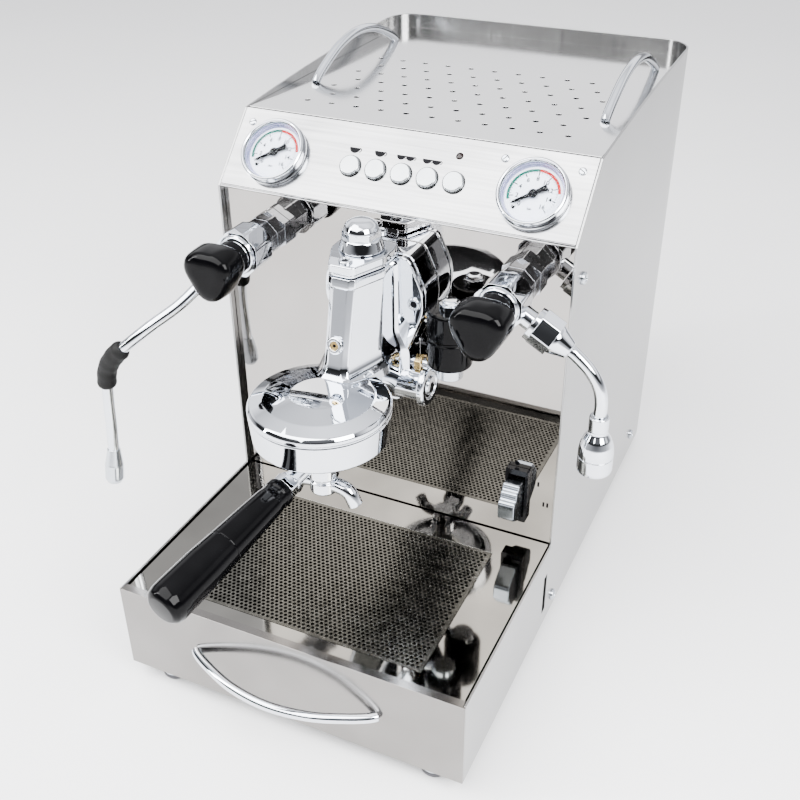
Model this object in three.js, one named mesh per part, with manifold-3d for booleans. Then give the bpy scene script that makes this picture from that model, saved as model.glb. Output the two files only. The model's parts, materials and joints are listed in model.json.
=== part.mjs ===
// Espresso machine with two turn-knob valves and a chrome brew group, in millimetres.
// X runs to the right and X = 0 is the case's plane of symmetry, +Y runs to the back and Y = 0 is the front
// edge of the side walls, +Z runs up and Z = 0 is the table. The last lines move the origin to the middle of
// the footprint of the whole machine.
import * as THREE from "three";
import { mergeVertices } from "three/addons/utils/BufferGeometryUtils.js";
import Module from "manifold-3d";

const wasm = await Module();
wasm.setup();

// ---------- driving dimensions ----------
const GAP = 0.3; // clearance between pieces that touch
const SHEET = 1.5; // thickness of the sheet steel

const BODY_WIDTH = 250;
const BODY_DEPTH = 289;
const CORNER_RADIUS = 24; // rear corners of the case, in plan
const FOOT_HEIGHT = 14;
const FOOT_X = 100;
const FOOT_ROWS = { front: -145, rear: 265 };

const DECK_Z = 80; // top of the tray deck
const WALL_TOP_Z = DECK_Z + 1.5;
const TRAY_SLOT = { y: [-10, -3], z: [27, 60] }; // upright slot in each side wall of the tray
const TRAY_FRONT_Y = -160.2;
const GRILLE_WIDTH = 178;
const GRILLE_Y = [-143.5, -21.5];

const MIRROR_Y = 5; // front of the polished panel
const PANEL_FOOT_Z = 309.6; // lower edge of the sloping panel, at Y = 0
const PANEL_RUN = 41.3; // the 45 degree panel runs this far back and this far up
const PLATE_Z = PANEL_FOOT_Z + PANEL_RUN;
const RAIL_RISE = 11.4; // height of the side walls over the cup plate, at the back

const GAUGE_X = 90;
const ROW_UP = 28.2; // gauges and buttons, measured up the sloping panel
const GAUGE_RADIUS = 22.5;
const NEEDLE_ZERO = 214; // degrees anticlockwise from the panel's +X
const BUTTON_MIDDLE = 1.5;
const BUTTON_PITCH = 18;
const BUTTON_RADIUS = 7;
const LAMP = { x: 36.1, up: 46.3 };
const SWITCH = { x: 96.4, z: 117.7, width: 16.4, height: 43.4 };
const SWITCH_NECK = { width: 13.8, height: 36.8 }; // the part of the frame that goes through the panel

const VALVE_Z = 283.5;
const STEAM_X = -86;
const WATER_X = 92;
const OUTLET_REACH = 36; // from the polished panel to the side outlets
const OUTLET_DROP = 30; // degrees below the horizontal
const PIPE_RADIUS = 4;

const GROUP_Y = -95; // axis of the bell
const BELL_RADIUS = 44;
const BELL_FOOT_Z = 201.8;
const BELL_TOP_Z = 232;
const TOWER_FOOT_Z = 222;
const TOWER_TOP_Z = 293;
const TOWER_LEAN = 14.5 / 60; // the front facet comes forward this much per unit of fall
const FLANGE_Y = -15; // joint between the group and its mount
const FLANGE_THICKNESS = 5;
const SHANK_Z = 250; // the mount's shank through the polished panel
const SHANK_RADIUS = 12;
const SEAL_Z = 224.5; // roof of the bell's cavity
const COIL_X = 51.5;

const BOW_CHORD = 137; // pull handles, from foot to foot
const BOW_RISE = 25;
const BOW_RADIUS = 3.25;
const CUP_HANDLE = { x: 107, y: 175 };
const TRAY_HANDLE_Z = 48.5;

const HALF = BODY_WIDTH / 2;
const INSIDE = HALF - SHEET - GAP; // half the width left between the side walls
const rad = THREE.MathUtils.degToRad;

// ---------- materials ----------
const metal = (color, roughness) => new THREE.MeshStandardMaterial({ color, roughness, metalness: 1 });
const plain = (color, roughness) => new THREE.MeshStandardMaterial({ color, roughness, metalness: 0 });
const BRUSHED = metal(0xd6d4d0, 0.32);
const POLISHED = metal(0xdedcd8, 0.06);
const CHROME = metal(0xe6eaee, 0.04);
const BRASS = metal(0xc9a24b, 0.25);
const COPPER = metal(0xb87348, 0.35);
const BLACK = plain(0x0b0b0c, 0.15);
const RUBBER = plain(0x151515, 0.7);
const WHITE = plain(0xf4f4f0, 0.5);
const NATURAL = plain(0xdfe3e2, 0.4);
const CLEAR = new THREE.MeshStandardMaterial({ roughness: 0.02, transparent: true, opacity: 0.3 });

// ---------- solids ----------
function solid(geometry) {
  const bare = geometry.clone();
  bare.deleteAttribute("normal");
  bare.deleteAttribute("uv");
  const merged = mergeVertices(bare, 1e-4);
  const vertProperties = new Float32Array(merged.attributes.position.array);
  const triVerts = new Uint32Array(merged.index.array);
  return new wasm.Manifold(new wasm.Mesh({ numProp: 3, vertProperties, triVerts }));
}

function geometryOf(manifold) {
  const mesh = manifold.getMesh();
  const geometry = new THREE.BufferGeometry();
  geometry.setAttribute("position", new THREE.BufferAttribute(new Float32Array(mesh.vertProperties), 3));
  geometry.setIndex(new THREE.BufferAttribute(new Uint32Array(mesh.triVerts), 1));
  geometry.computeVertexNormals();
  return geometry;
}

function cut(body, ...tools) {
  return geometryOf(tools.reduce((left, tool) => left.subtract(solid(tool)), solid(body)));
}

const join = (...bodies) => geometryOf(bodies.map(solid).reduce((left, right) => left.add(right)));
const common = (left, right) => geometryOf(solid(left).intersect(solid(right)));

// A box between its low and high corners.
function block(low, high) {
  const size = high.map((value, i) => value - low[i]);
  return new THREE.BoxGeometry(...size).translate(...low.map((value, i) => value + size[i] / 2));
}

// A box open at the top.
function openBox(low, high, wall) {
  const inner = block(low.map((value) => value + wall), [high[0] - wall, high[1] - wall, high[2] + 1]);
  return cut(block(low, high), inner);
}

// A body turned about +Z from [radius, height] points, listed upwards.
function turned(profile, sides = 28) {
  const outline = profile.map(([r, z]) => new THREE.Vector2(r, z));
  return new THREE.LatheGeometry(outline, sides).rotateX(Math.PI / 2);
}

// A cylinder along +Z.
function rod(radius, low, high, sides = 20) {
  return turned([[0, low], [radius, low], [radius, high], [0, high]], sides);
}

// A prism along +Z.
function prism(outline, low, high) {
  const shape = new THREE.Shape(outline.map(([x, y]) => new THREE.Vector2(x, y)));
  return new THREE.ExtrudeGeometry(shape, { depth: high - low, bevelEnabled: false }).translate(0, 0, low);
}

// A prism along X, centred on X = 0, from an outline of [y, z] points.
function across(outline, width) {
  return prism(outline, -width / 2, width / 2).rotateX(Math.PI / 2).rotateZ(Math.PI / 2);
}

// A body between two outlines with the same number of points, listed anticlockwise.
function loft(lower, low, upper, high) {
  const count = lower.length;
  const mean = (outline, axis) => outline.reduce((sum, point) => sum + point[axis], 0) / count;
  const middle = (outline) => [mean(outline, 0), mean(outline, 1)];
  const points = [
    ...lower.map(([x, y]) => [x, y, low]),
    ...upper.map(([x, y]) => [x, y, high]),
    [...middle(lower), low],
    [...middle(upper), high],
  ];
  const faces = [];
  for (let i = 0; i < count; i++) {
    const next = (i + 1) % count;
    faces.push(i, next, count + next, i, count + next, count + i);
    faces.push(2 * count, next, i, 2 * count + 1, count + i, count + next);
  }
  const geometry = new THREE.BufferGeometry();
  geometry.setAttribute("position", new THREE.Float32BufferAttribute(points.flat(), 3));
  return geometry.setIndex(faces);
}

function polygon(sides, radius, turn = 0) {
  return Array.from({ length: sides }, (_, i) => {
    const angle = rad(turn) + (2 * Math.PI * i) / sides;
    return [radius * Math.cos(angle), radius * Math.sin(angle)];
  });
}

const smooth = (points) => new THREE.CatmullRomCurve3(points.map((point) => new THREE.Vector3(...point)));

// The stretch of a curve between two fractions of its length.
function stretch(curve, from, to, steps = 12) {
  const pointAt = (_, i) => curve.getPointAt(from + ((to - from) * i) / steps);
  return new THREE.CatmullRomCurve3(Array.from({ length: steps + 1 }, pointAt));
}

// A round bar along a curve.
function bar(curve, radius, steps, sides = 10) {
  const section = new THREE.Shape(polygon(sides, radius).map(([x, y]) => new THREE.Vector2(x, y)));
  return new THREE.ExtrudeGeometry(section, { steps, extrudePath: curve, bevelEnabled: false });
}

// A body turned about +Z, moved to start at one point and run towards another.
function aimed(geometry, from, to) {
  const way = new THREE.Vector3(...to).sub(new THREE.Vector3(...from)).normalize();
  const turn = new THREE.Quaternion().setFromUnitVectors(new THREE.Vector3(0, 0, 1), way);
  return geometry.clone().applyQuaternion(turn).translate(...from);
}

const machine = new THREE.Group();

function add(parent, name, geometry, material, place = [0, 0, 0]) {
  const mesh = new THREE.Mesh(geometry, material);
  mesh.name = name;
  mesh.position.set(...place);
  parent.add(mesh);
  return mesh;
}

function groupAt(place, parent = machine) {
  const group = new THREE.Group();
  group.position.set(...place);
  parent.add(group);
  return group;
}

// ---------- case ----------
// Plan of the case at a distance inside its outer face, from the front left round the back.
function plan(inset, front) {
  const radius = CORNER_RADIUS - inset;
  const corner = (side, from) =>
    Array.from({ length: 6 }, (_, i) => {
      const angle = rad(from - i * 18);
      return [
        side * (HALF - CORNER_RADIUS) + radius * Math.cos(angle),
        BODY_DEPTH - CORNER_RADIUS + radius * Math.sin(angle),
      ];
    });
  return [[inset - HALF, front], ...corner(-1, 180), ...corner(1, 90), [HALF - inset, front]];
}

// Height of the side wall, level with the sloping panel in front and easing up to the back rail.
function railHeight(y) {
  const left = (BODY_DEPTH - y) / (BODY_DEPTH - PANEL_RUN);
  return PLATE_Z + RAIL_RISE * (1 - left * left);
}

const INLET = { x: -70, z: 56, width: 28, height: 22 };

// One sheet round both sides and the back. Its front ends are the side walls of the tray.
function bodyWrap() {
  const front = TRAY_FRONT_Y + SHEET + GAP;
  const ring = prism([...plan(0, front), ...plan(SHEET, front).reverse()], FOOT_HEIGHT, PLATE_Z + 20);
  const railSteps = 6;
  const rail = Array.from({ length: railSteps }, (_, i) => {
    const back = BODY_DEPTH - (i * (BODY_DEPTH - PANEL_RUN)) / railSteps;
    return [back + (i ? 0 : 1), railHeight(back)];
  });
  const sideView = [
    [front - 1, FOOT_HEIGHT - 1],
    [BODY_DEPTH + 1, FOOT_HEIGHT - 1],
    ...rail,
    [PANEL_RUN, PLATE_Z],
    [0, PANEL_FOOT_Z],
    [0, WALL_TOP_Z],
    [front - 1, WALL_TOP_Z],
  ];
  const { y, z } = TRAY_SLOT;
  const slots = block([-HALF - 1, y[0], z[0]], [HALF + 1, y[1], z[1]]);
  const [w, h] = [INLET.width / 2 + GAP, INLET.height / 2 + GAP];
  const inletHole = block(
    [INLET.x - w, BODY_DEPTH - 5, INLET.z - h],
    [INLET.x + w, BODY_DEPTH + 1, INLET.z + h],
  );
  return cut(common(ring, across(sideView, BODY_WIDTH + 2)), slots, inletHole);
}

function frontPanel() {
  const low = [-INSIDE, MIRROR_Y, FOOT_HEIGHT + SHEET + GAP];
  const plate = block(low, [INSIDE, MIRROR_Y + SHEET, PANEL_FOOT_Z - GAP]);
  const hole = (radius, x, z) => rod(radius, -6, 6).rotateX(Math.PI / 2).translate(x, MIRROR_Y, z);
  const valveHole = (x) => hole(8.3, x, VALVE_Z);
  const [w, h] = [SWITCH_NECK.width / 2 + GAP, SWITCH_NECK.height / 2 + GAP];
  const switchHole = block([SWITCH.x - w, 0, SWITCH.z - h], [SWITCH.x + w, 10, SWITCH.z + h]);
  const shankHole = hole(SHANK_RADIUS + GAP, 0, SHANK_Z);
  return cut(plate, valveHole(STEAM_X), valveHole(WATER_X), shankHole, switchHole);
}

const buttonPlaces = [-2, -1, 0, 1, 2].map((i) => BUTTON_MIDDLE + i * BUTTON_PITCH);

function controlPanel() {
  const slant = SHEET * Math.SQRT2; // the sheet's thickness measured along Y
  const outline = [
    [0, 0],
    [MIRROR_Y + SHEET, 0],
    [MIRROR_Y + SHEET, SHEET],
    [SHEET + slant, SHEET],
    [PANEL_RUN + slant, PANEL_RUN],
    [PANEL_RUN, PANEL_RUN],
  ];
  const hole = (radius, x, up) => rod(radius, -6, 6, 16).translate(x, up, 0).rotateX(Math.PI / 4);
  const holes = [
    ...[-GAUGE_X, GAUGE_X].map((x) => hole(20.4, x, ROW_UP)),
    ...buttonPlaces.map((x) => hole(BUTTON_RADIUS + 0.4, x, ROW_UP)),
    hole(2.4, LAMP.x, LAMP.up),
  ];
  return cut(across(outline, 2 * INSIDE), ...holes);
}

const PLATE_HOLES = { rows: 7, perRow: 11, radius: 2, pitchX: 18.7, pitchY: 19.4, firstY: 71.7 };

// Staggered rows of drain holes, every other row one hole shorter.
function cupPlate() {
  const front = PANEL_RUN + SHEET * Math.SQRT2 + GAP;
  const sheet = prism(plan(SHEET + GAP, front), PLATE_Z - SHEET, PLATE_Z);
  const holes = [];
  const { rows, perRow, radius, pitchX, pitchY, firstY } = PLATE_HOLES;
  for (let row = 0; row < rows; row++) {
    const count = perRow - (row % 2);
    for (let i = 0; i < count; i++) {
      const x = (i - (count - 1) / 2) * pitchX;
      holes.push(rod(radius, -3, 3, 6).translate(x, firstY + row * pitchY, PLATE_Z));
    }
  }
  return cut(sheet, ...holes);
}

function buildCase() {
  add(machine, "body_wrap", bodyWrap(), BRUSHED);
  const floor = plan(SHEET + GAP, TRAY_FRONT_Y + SHEET + GAP);
  add(machine, "base_plate", prism(floor, FOOT_HEIGHT, FOOT_HEIGHT + SHEET), BRUSHED);
  add(machine, "front_panel", frontPanel(), POLISHED);
  add(machine, "control_panel", controlPanel(), BRUSHED, [0, 0, PANEL_FOOT_Z]);
  add(machine, "cup_plate", cupPlate(), POLISHED);
  const foot = [[0, 0], [8, 0], [9.5, 2], [8.5, FOOT_HEIGHT - GAP], [0, FOOT_HEIGHT - GAP]];
  for (const [row, y] of Object.entries(FOOT_ROWS)) {
    for (const [side, x] of [["left", -FOOT_X], ["right", FOOT_X]]) {
      add(machine, `foot_${row}_${side}`, turned(foot, 12), RUBBER, [x, y, 0]);
    }
  }
}

// ---------- drip drawer ----------
function drawerFront() {
  const face = block([-HALF, TRAY_FRONT_Y, FOOT_HEIGHT], [HALF, TRAY_FRONT_Y + SHEET, WALL_TOP_Z]);
  const lip = block(
    [-INSIDE, TRAY_FRONT_Y + 1, WALL_TOP_Z - SHEET],
    [INSIDE, TRAY_FRONT_Y + 6, WALL_TOP_Z],
  );
  return join(face, lip);
}

// The deck has a window for the grille, with a ledge under its edge.
function trayDeck() {
  const window = (grow, low, high) =>
    block(
      [-GRILLE_WIDTH / 2 - grow, GRILLE_Y[0] - grow, low],
      [GRILLE_WIDTH / 2 + grow, GRILLE_Y[1] + grow, high],
    );
  const side = INSIDE - 1.2;
  const sheet = block([-side, TRAY_FRONT_Y + 6.6, DECK_Z - SHEET], [side, MIRROR_Y - 1.2, DECK_Z]);
  const ledge = cut(window(4, DECK_Z - 2 * SHEET, DECK_Z - SHEET), window(-3, DECK_Z - 5, DECK_Z));
  return join(cut(sheet, window(0.5, DECK_Z - 5, DECK_Z + 5)), ledge);
}

// A bow that stands on z = 0 and spans along X.
function bow() {
  const half = BOW_CHORD / 2;
  const height = BOW_RISE - BOW_RADIUS;
  const points = [-1, -0.96, -0.75, -0.4, 0, 0.4, 0.75, 0.96, 1].map((t) => [
    t * half,
    0,
    Math.abs(t) === 1 ? -4 : height * (1 - t * t),
  ]);
  const below = block([-half - 9, -9, -9], [half + 9, 9, 0]);
  return cut(bar(smooth(points), BOW_RADIUS, 20, 8), below);
}

function buildDrawer() {
  add(machine, "drawer_front", drawerFront(), BRUSHED);
  const panLow = [-119, TRAY_FRONT_Y + 8, FOOT_HEIGHT + SHEET + GAP];
  add(machine, "drip_pan", openBox(panLow, [119, -3, DECK_Z - SHEET - GAP], 2), BRUSHED);
  add(machine, "tray_deck", trayDeck(), POLISHED);
  const half = GRILLE_WIDTH / 2;
  const grille = block([-half, GRILLE_Y[0], DECK_Z - SHEET + GAP], [half, GRILLE_Y[1], DECK_Z]);
  add(machine, "drip_grille", grille, BRUSHED);
  const handle = add(machine, "tray_handle", bow(), CHROME, [0, TRAY_FRONT_Y - GAP, TRAY_HANDLE_Z]);
  handle.rotation.x = Math.PI / 2;
}

function buildCupHandles() {
  for (const [name, x] of [["cup_handle_left", -CUP_HANDLE.x], ["cup_handle_right", CUP_HANDLE.x]]) {
    add(machine, name, bow(), CHROME, [x, CUP_HANDLE.y, PLATE_Z + GAP]).rotation.z = Math.PI / 2;
  }
}

// ---------- control panel fittings ----------
function gaugeCase() {
  const profile = [
    [0, -32], [5, -32], [5, -20], [20, -20], [20, GAP], [GAUGE_RADIUS, GAP],
    [GAUGE_RADIUS, 6], [GAUGE_RADIUS - 1.5, 8], [19.8, 7], [19.8, 1], [0, 1],
  ];
  return turned(profile, 24);
}

// The needle lies along +X and turns about its hub.
function needle() {
  const outline = [[-6.5, -1], [14, -0.35], [14, 0.35], [-6.5, 1]];
  return join(prism(outline, 3.2, 3.9), rod(2.2, 2.9, 4.3, 12));
}

function buildPanelFittings() {
  const panel = groupAt([0, 0, PANEL_FOOT_Z]);
  panel.rotation.x = Math.PI / 4;
  for (const [side, x] of [["left", -GAUGE_X], ["right", GAUGE_X]]) {
    const gauge = groupAt([x, ROW_UP, 0], panel);
    add(gauge, `gauge_case_${side}`, gaugeCase(), CHROME);
    add(gauge, `gauge_dial_${side}`, rod(19.3, 1.3, 1.9, 24), WHITE);
    add(gauge, `gauge_needle_${side}`, needle(), BLACK).rotation.z = rad(NEEDLE_ZERO);
    add(gauge, `gauge_glass_${side}`, rod(19.4, 5, 6.2, 24), CLEAR);
  }
  const cap = [[0, -3.4], [8.6, -3.4], [8.6, -1.9], [7, -1.9], [7, 1.8], [5.2, 3], [0, 3.6]];
  buttonPlaces.forEach((x, i) => add(panel, `button_${i + 1}`, turned(cap, 14), CHROME, [x, ROW_UP, 0]));
  const lens = [[0, -3], [3, -3], [3, -1.9], [2, -1.9], [2, 0.3], [0, 1]];
  add(panel, "pilot_lamp", turned(lens, 12), BLACK, [LAMP.x, LAMP.up, 0]);
}

// ---------- rocker switch ----------
function buildSwitch() {
  const [w, h] = [SWITCH.width / 2, SWITCH.height / 2];
  const [neckW, neckH] = [SWITCH_NECK.width / 2, SWITCH_NECK.height / 2];
  const shell = join(block([-w, -4, -h], [w, 0, h]), block([-neckW, -1, -neckH], [neckW, 16, neckH]));
  const frame = cut(shell, block([-6.3, -6, -17.4], [6.3, 11, 17.4]));
  add(machine, "switch_frame", frame, BLACK, [SWITCH.x, MIRROR_Y - GAP, SWITCH.z]);
  // Side view as [y, z] about the pivot: a stepped top, a blunt nose and a narrow back.
  const outline = [
    [5, 0], [3, 8], [-3.5, 15.2], [-9, 16.2], [-14.5, 16.8], [-15.3, 13], [-18.6, 12], [-19, 7.6],
    [-22.8, 6.4], [-23.5, 3], [-23.4, -5.5], [-21.4, -8.6], [-9, -16.2], [-3.5, -15.2], [3, -8],
  ];
  add(machine, "switch_rocker", across(outline, 11.6), BLACK, [SWITCH.x, MIRROR_Y - 1, SWITCH.z]);
}

// ---------- valves ----------
// In a valve's own frame z runs forwards out of the polished panel, y up and x away from the machine.
const outward = (geometry) => geometry.rotateY(Math.PI / 2).rotateZ(-rad(OUTLET_DROP));

function valveBody(stemEnd) {
  return join(
    rod(8, -18, 1, 16),
    prism(polygon(6, 14.5, 30), GAP, 7),
    prism(polygon(8, 13.5, 22.5), 6.5, 27),
    rod(14.6, 26.5, 29, 24),
    prism(polygon(8, 16, 22.5), 28.5, 49),
    rod(10, 48.5, 51, 20),
    outward(rod(6.5, 0, stemEnd, 16)).translate(0, 0, OUTLET_REACH),
  );
}

// Three-lobed grip with one lobe down, on a round skirt.
function valveKnob() {
  const lobes = (grow) =>
    Array.from({ length: 30 }, (_, i) => {
      const angle = rad(i * 12 - 90);
      const radius = 17 + grow + 1.8 * Math.cos(3 * (angle + Math.PI / 2));
      return [radius * Math.cos(angle), radius * Math.sin(angle)];
    });
  return join(
    rod(11, 51.3, 62.5, 24),
    loft(lobes(-4), 61, lobes(0), 66),
    loft(lobes(0), 66, lobes(-1), 80),
    loft(lobes(-1), 80, lobes(-5), 85),
  );
}

// Flange, hexagon and cone, each as long as stated, starting at a distance out along the outlet.
function wandNut(start, flange, hexagon, cone) {
  const hexStart = start + flange;
  const coneStart = hexStart + hexagon;
  const pieces = [rod(11, start, hexStart + 0.5, 24), prism(polygon(6, 11.6), hexStart, coneStart)];
  if (cone > 0) {
    const root = coneStart - 0.5;
    const tip = coneStart + cone;
    pieces.push(turned([[0, root], [9.4, root], [5.4, tip], [0, tip]], 20));
  }
  return outward(join(...pieces));
}

const STEAM_NUT = { start: 16.3, flange: 2, hexagon: 6, cone: 0 };
const WATER_NUT = { start: 21.3, flange: 3.2, hexagon: 13, cone: 11.5 };
const nutEnd = (nut) => nut.start + nut.flange + nut.hexagon + nut.cone;

function buildValves() {
  const valves = [["steam", -1, STEAM_X, STEAM_NUT], ["water", 1, WATER_X, WATER_NUT]];
  for (const [name, side, x, nut] of valves) {
    const valve = groupAt([x, MIRROR_Y, VALVE_Z]);
    valve.rotation.x = Math.PI / 2;
    valve.scale.x = side;
    add(valve, `${name}_valve_body`, valveBody(nut.start - GAP), CHROME);
    add(valve, `${name}_knob`, valveKnob(), BLACK);
    const geometry = wandNut(nut.start, nut.flange, nut.hexagon, nut.cone);
    add(valve, `${name}_wand_nut`, geometry, CHROME, [0, 0, OUTLET_REACH]);
  }
}

// ---------- wands ----------
// The point at a distance out along a valve's side outlet.
function onOutlet(side, x, reach) {
  const y = MIRROR_Y - OUTLET_REACH;
  return [x + side * reach * Math.cos(rad(OUTLET_DROP)), y, VALVE_Z - reach * Math.sin(rad(OUTLET_DROP))];
}

function buildSteamWand() {
  const end = nutEnd(STEAM_NUT);
  const route = smooth([
    onOutlet(-1, STEAM_X, end + GAP),
    onOutlet(-1, STEAM_X, end + 4),
    [-117, -40, 257],
    [-127, -55, 244.5],
    [-141, -70, 233],
    [-155, -80, 220.5],
    [-166, -82, 210],
    [-174, -82, 197],
    [-177, -82, 178],
    [-177.6, -83.5, 153],
    [-178, -85, 133],
  ]);
  add(machine, "steam_pipe", bar(route, PIPE_RADIUS, 30, 8), CHROME);
  const sleeve = bar(stretch(route, 0.5, 0.72), 6.6, 10, 10);
  add(machine, "steam_grip", cut(sleeve, bar(route, PIPE_RADIUS + GAP, 30, 8)), RUBBER);
  const tip = turned([[0, GAP], [5, GAP], [5.4, 8], [6.5, 15], [6.5, 24], [5, 28], [0, 28]], 20);
  add(machine, "steam_tip", aimed(tip, [-178, -85, 133], [-179, -89, 105]), CHROME);
}

function buildWaterWand() {
  const y = MIRROR_Y - OUTLET_REACH;
  const end = nutEnd(WATER_NUT);
  const x = 156;
  const route = smooth([
    onOutlet(1, WATER_X, end + GAP),
    onOutlet(1, WATER_X, end + 4),
    [147, y, 249],
    [153.5, y, 239],
    [x, y, 229],
    [x, y, 219.3],
  ]);
  add(machine, "water_pipe", bar(route, PIPE_RADIUS, 16), CHROME);
  const profile = [
    [0, 178], [9.4, 178], [11, 180.5], [11, 193.5], [10.5, 198], [9, 203.5], [6, 209], [6, 219], [0, 219],
  ];
  add(machine, "water_head", turned(profile, 24), CHROME, [x, y, 0]);
}

// ---------- brew group ----------
// Plan of the tower: a narrow facet in front, widest at its waist, drawn in behind it.
const towerPlan = (front, waist) => [
  [-7.5, front],
  [7.5, front],
  [17.5, waist],
  [13, waist + 9],
  [-13, waist + 9],
  [-17.5, waist],
];

// Plan of the cover, which lies on the tower, the arm and the mount.
const COVER_PLAN = [
  [-8.2, -62.8],
  [8.2, -62.8],
  [18.4, -39],
  [18.4, -23],
  [9, 0.5],
  [-9, 0.5],
  [-18.4, -23],
  [-18.4, -39],
];

// A front view from its right half, given as [x, z], drawn in towards its middle by a factor each way.
function bothHalves(right, wide = 1, tall = 1) {
  const left = right.map(([x, z]) => [-x, z]).reverse();
  return [...right, ...left].map(([x, z]) => [x * wide, SHANK_Z + (z - SHANK_Z) * tall]);
}

const FLANGE_OUTLINE = bothHalves([
  [19, 187], [22, 205], [21.5, 222], [30, 243], [35, 256], [34.5, 270], [24.5, 292.5],
]);
const ARM_HALF = [[17, 190], [20.5, 205], [20.5, 227], [15, 240], [15, 290]];

// Across the front facet of the tower, with z out of the metal.
function onFacet(geometry) {
  const z = 252.3;
  const y = -62 - (TOWER_TOP_Z - z) * TOWER_LEAN;
  return geometry.rotateX(Math.PI / 2 - Math.atan(TOWER_LEAN)).translate(0, y, z);
}

function groupCasting() {
  const bell = turned(
    [
      [0, BELL_FOOT_Z], [BELL_RADIUS - 2.6, BELL_FOOT_Z], [BELL_RADIUS - 1.6, BELL_FOOT_Z + 1],
      [BELL_RADIUS, 220], [BELL_RADIUS - 0.6, 221.2],
      [BELL_RADIUS + 0.2, 222.4], [BELL_RADIUS + 0.2, 224.5],
      [BELL_RADIUS - 1.5, 227.5], [34, 230.2], [18, BELL_TOP_Z - 0.3], [0, BELL_TOP_Z],
    ],
    40,
  ).translate(0, GROUP_Y, 0);
  const cavity = rod(36.5, 195, SEAL_Z, 36).translate(0, GROUP_Y, 0);
  const lean = (TOWER_TOP_Z - TOWER_FOOT_Z) * TOWER_LEAN;
  const tower = loft(towerPlan(-62 - lean, -46), TOWER_FOOT_Z, towerPlan(-62, -39), TOWER_TOP_Z);
  const flange = prism(FLANGE_OUTLINE, GAP - FLANGE_Y, FLANGE_THICKNESS - FLANGE_Y);
  const arm = loft(bothHalves(ARM_HALF), 19, bothHalves(ARM_HALF, 0.8, 0.78), 50);
  const back = join(flange, arm).rotateX(Math.PI / 2);
  return cut(join(bell, tower, back), cavity, onFacet(rod(4.3, -8, 3, 16)));
}

// Mount between the group and the case, with the drain port and the solenoid's seat on its right.
function groupMount() {
  const flange = prism(FLANGE_OUTLINE, GAP - MIRROR_Y, -FLANGE_Y).rotateX(Math.PI / 2);
  const shank = rod(SHANK_RADIUS, -49.7, 0).rotateX(Math.PI / 2).translate(0, 0, SHANK_Z);
  const alongX = (radius, low, high, z) =>
    rod(radius, low, high).rotateY(Math.PI / 2).translate(0, FLANGE_Y, z);
  const port = join(alongX(12, 10, 36, 202), alongX(15, 34.5, 39, 202), alongX(4, 10, 52, 217.7));
  const seat = rod(9, 212.5, 222.2).translate(COIL_X, FLANGE_Y, 0);
  const clear = block([-1, -40, 180], [27.5, FLANGE_Y + 1, 230]);
  return join(flange, shank, cut(port, clear), seat);
}

function buildGroup() {
  add(machine, "group_mount", groupMount(), CHROME);
  add(machine, "group_casting", groupCasting(), CHROME);
  add(machine, "group_cover", prism(COVER_PLAN, TOWER_TOP_Z + GAP, 301), CHROME);
  const nut = [
    [0, 301.3], [15, 301.3], [14.4, 304], [12.4, 308.5], [11.2, 309], [11.2, 314], [9.6, 317.6], [6, 319.6],
    [0, 320],
  ];
  add(machine, "group_dome_nut", turned(nut, 24), CHROME, [0, -34, 0]);
  const plug = turned([[0, -7], [4, -7], [4, GAP], [5.4, GAP], [5.4, 2.6], [0, 2.6]], 16);
  add(machine, "group_plug", onFacet(plug), BRASS);
  const seal = [[29.5, 220.7], [36.2, 220.7], [36.2, 224.2], [29.5, 224.2], [29.5, 220.7]];
  add(machine, "group_seal", turned(seal, 32), RUBBER, [0, GROUP_Y, 0]);
  add(machine, "shower_screen", rod(28.5, 221, 224.2, 28), CHROME, [0, GROUP_Y, 0]);
  add(machine, "solenoid_coil", rod(15, 222.5, 261.5, 24), BLACK, [COIL_X, FLANGE_Y, 0]);
  const coilNut = [[0, 261.8], [7, 261.8], [7, 266], [5, 268], [0, 268]];
  add(machine, "solenoid_nut", turned(coilNut, 16), CHROME, [COIL_X, FLANGE_Y, 0]);
}

// ---------- portafilter ----------
const GRIP_START = [-7, -133, 183];
const GRIP_END = [-24, -233, 167];

function buildPortafilter() {
  const cup = turned(
    [
      [0, 171], [10, 171], [10, 181], [15, 184], [27, 192], [34, 200], [34, 219.2],
      [30.5, 219.2], [30.5, 207], [21.5, 197.5], [0, 197.5],
    ],
    26,
  ).translate(0, GROUP_Y, 0);
  const neck = turned([[0, -25], [6, -25], [6, -7], [7.6, -6], [7.6, -GAP], [0, -GAP]], 18);
  add(machine, "portafilter_body", join(cup, aimed(neck, GRIP_START, GRIP_END)), CHROME);
  const grip = turned(
    [
      [0, 0], [8.4, 0], [9.5, 2], [9.3, 12], [10.6, 32], [12.6, 70], [13, 96], [11.5, 102], [7, 105],
      [0, 106],
    ],
    24,
  );
  add(machine, "portafilter_handle", aimed(grip, GRIP_START, GRIP_END), BLACK);
  const basket = turned(
    [
      [0, 198.5], [20, 198.5], [29.5, 208], [29.5, 219.5], [33.8, 219.5], [33.8, 220.3],
      [28.7, 220.3], [28.7, 208.4], [19.7, 199.3], [0, 199.3],
    ],
    28,
  );
  add(machine, "filter_basket", basket, BRUSHED, [0, GROUP_Y, 0]);
  const arm = (side) => {
    const points = [[side * 3, 0, 164.2], [side * 10, 0, 164], [side * 18, 0, 161.5], [side * 22, 0, 155]];
    return bar(smooth(points), 4.8, 7, 9);
  };
  add(machine, "spout", join(rod(9, 160, 170.7), arm(-1), arm(1)), CHROME, [0, GROUP_Y, 0]);
}

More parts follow.
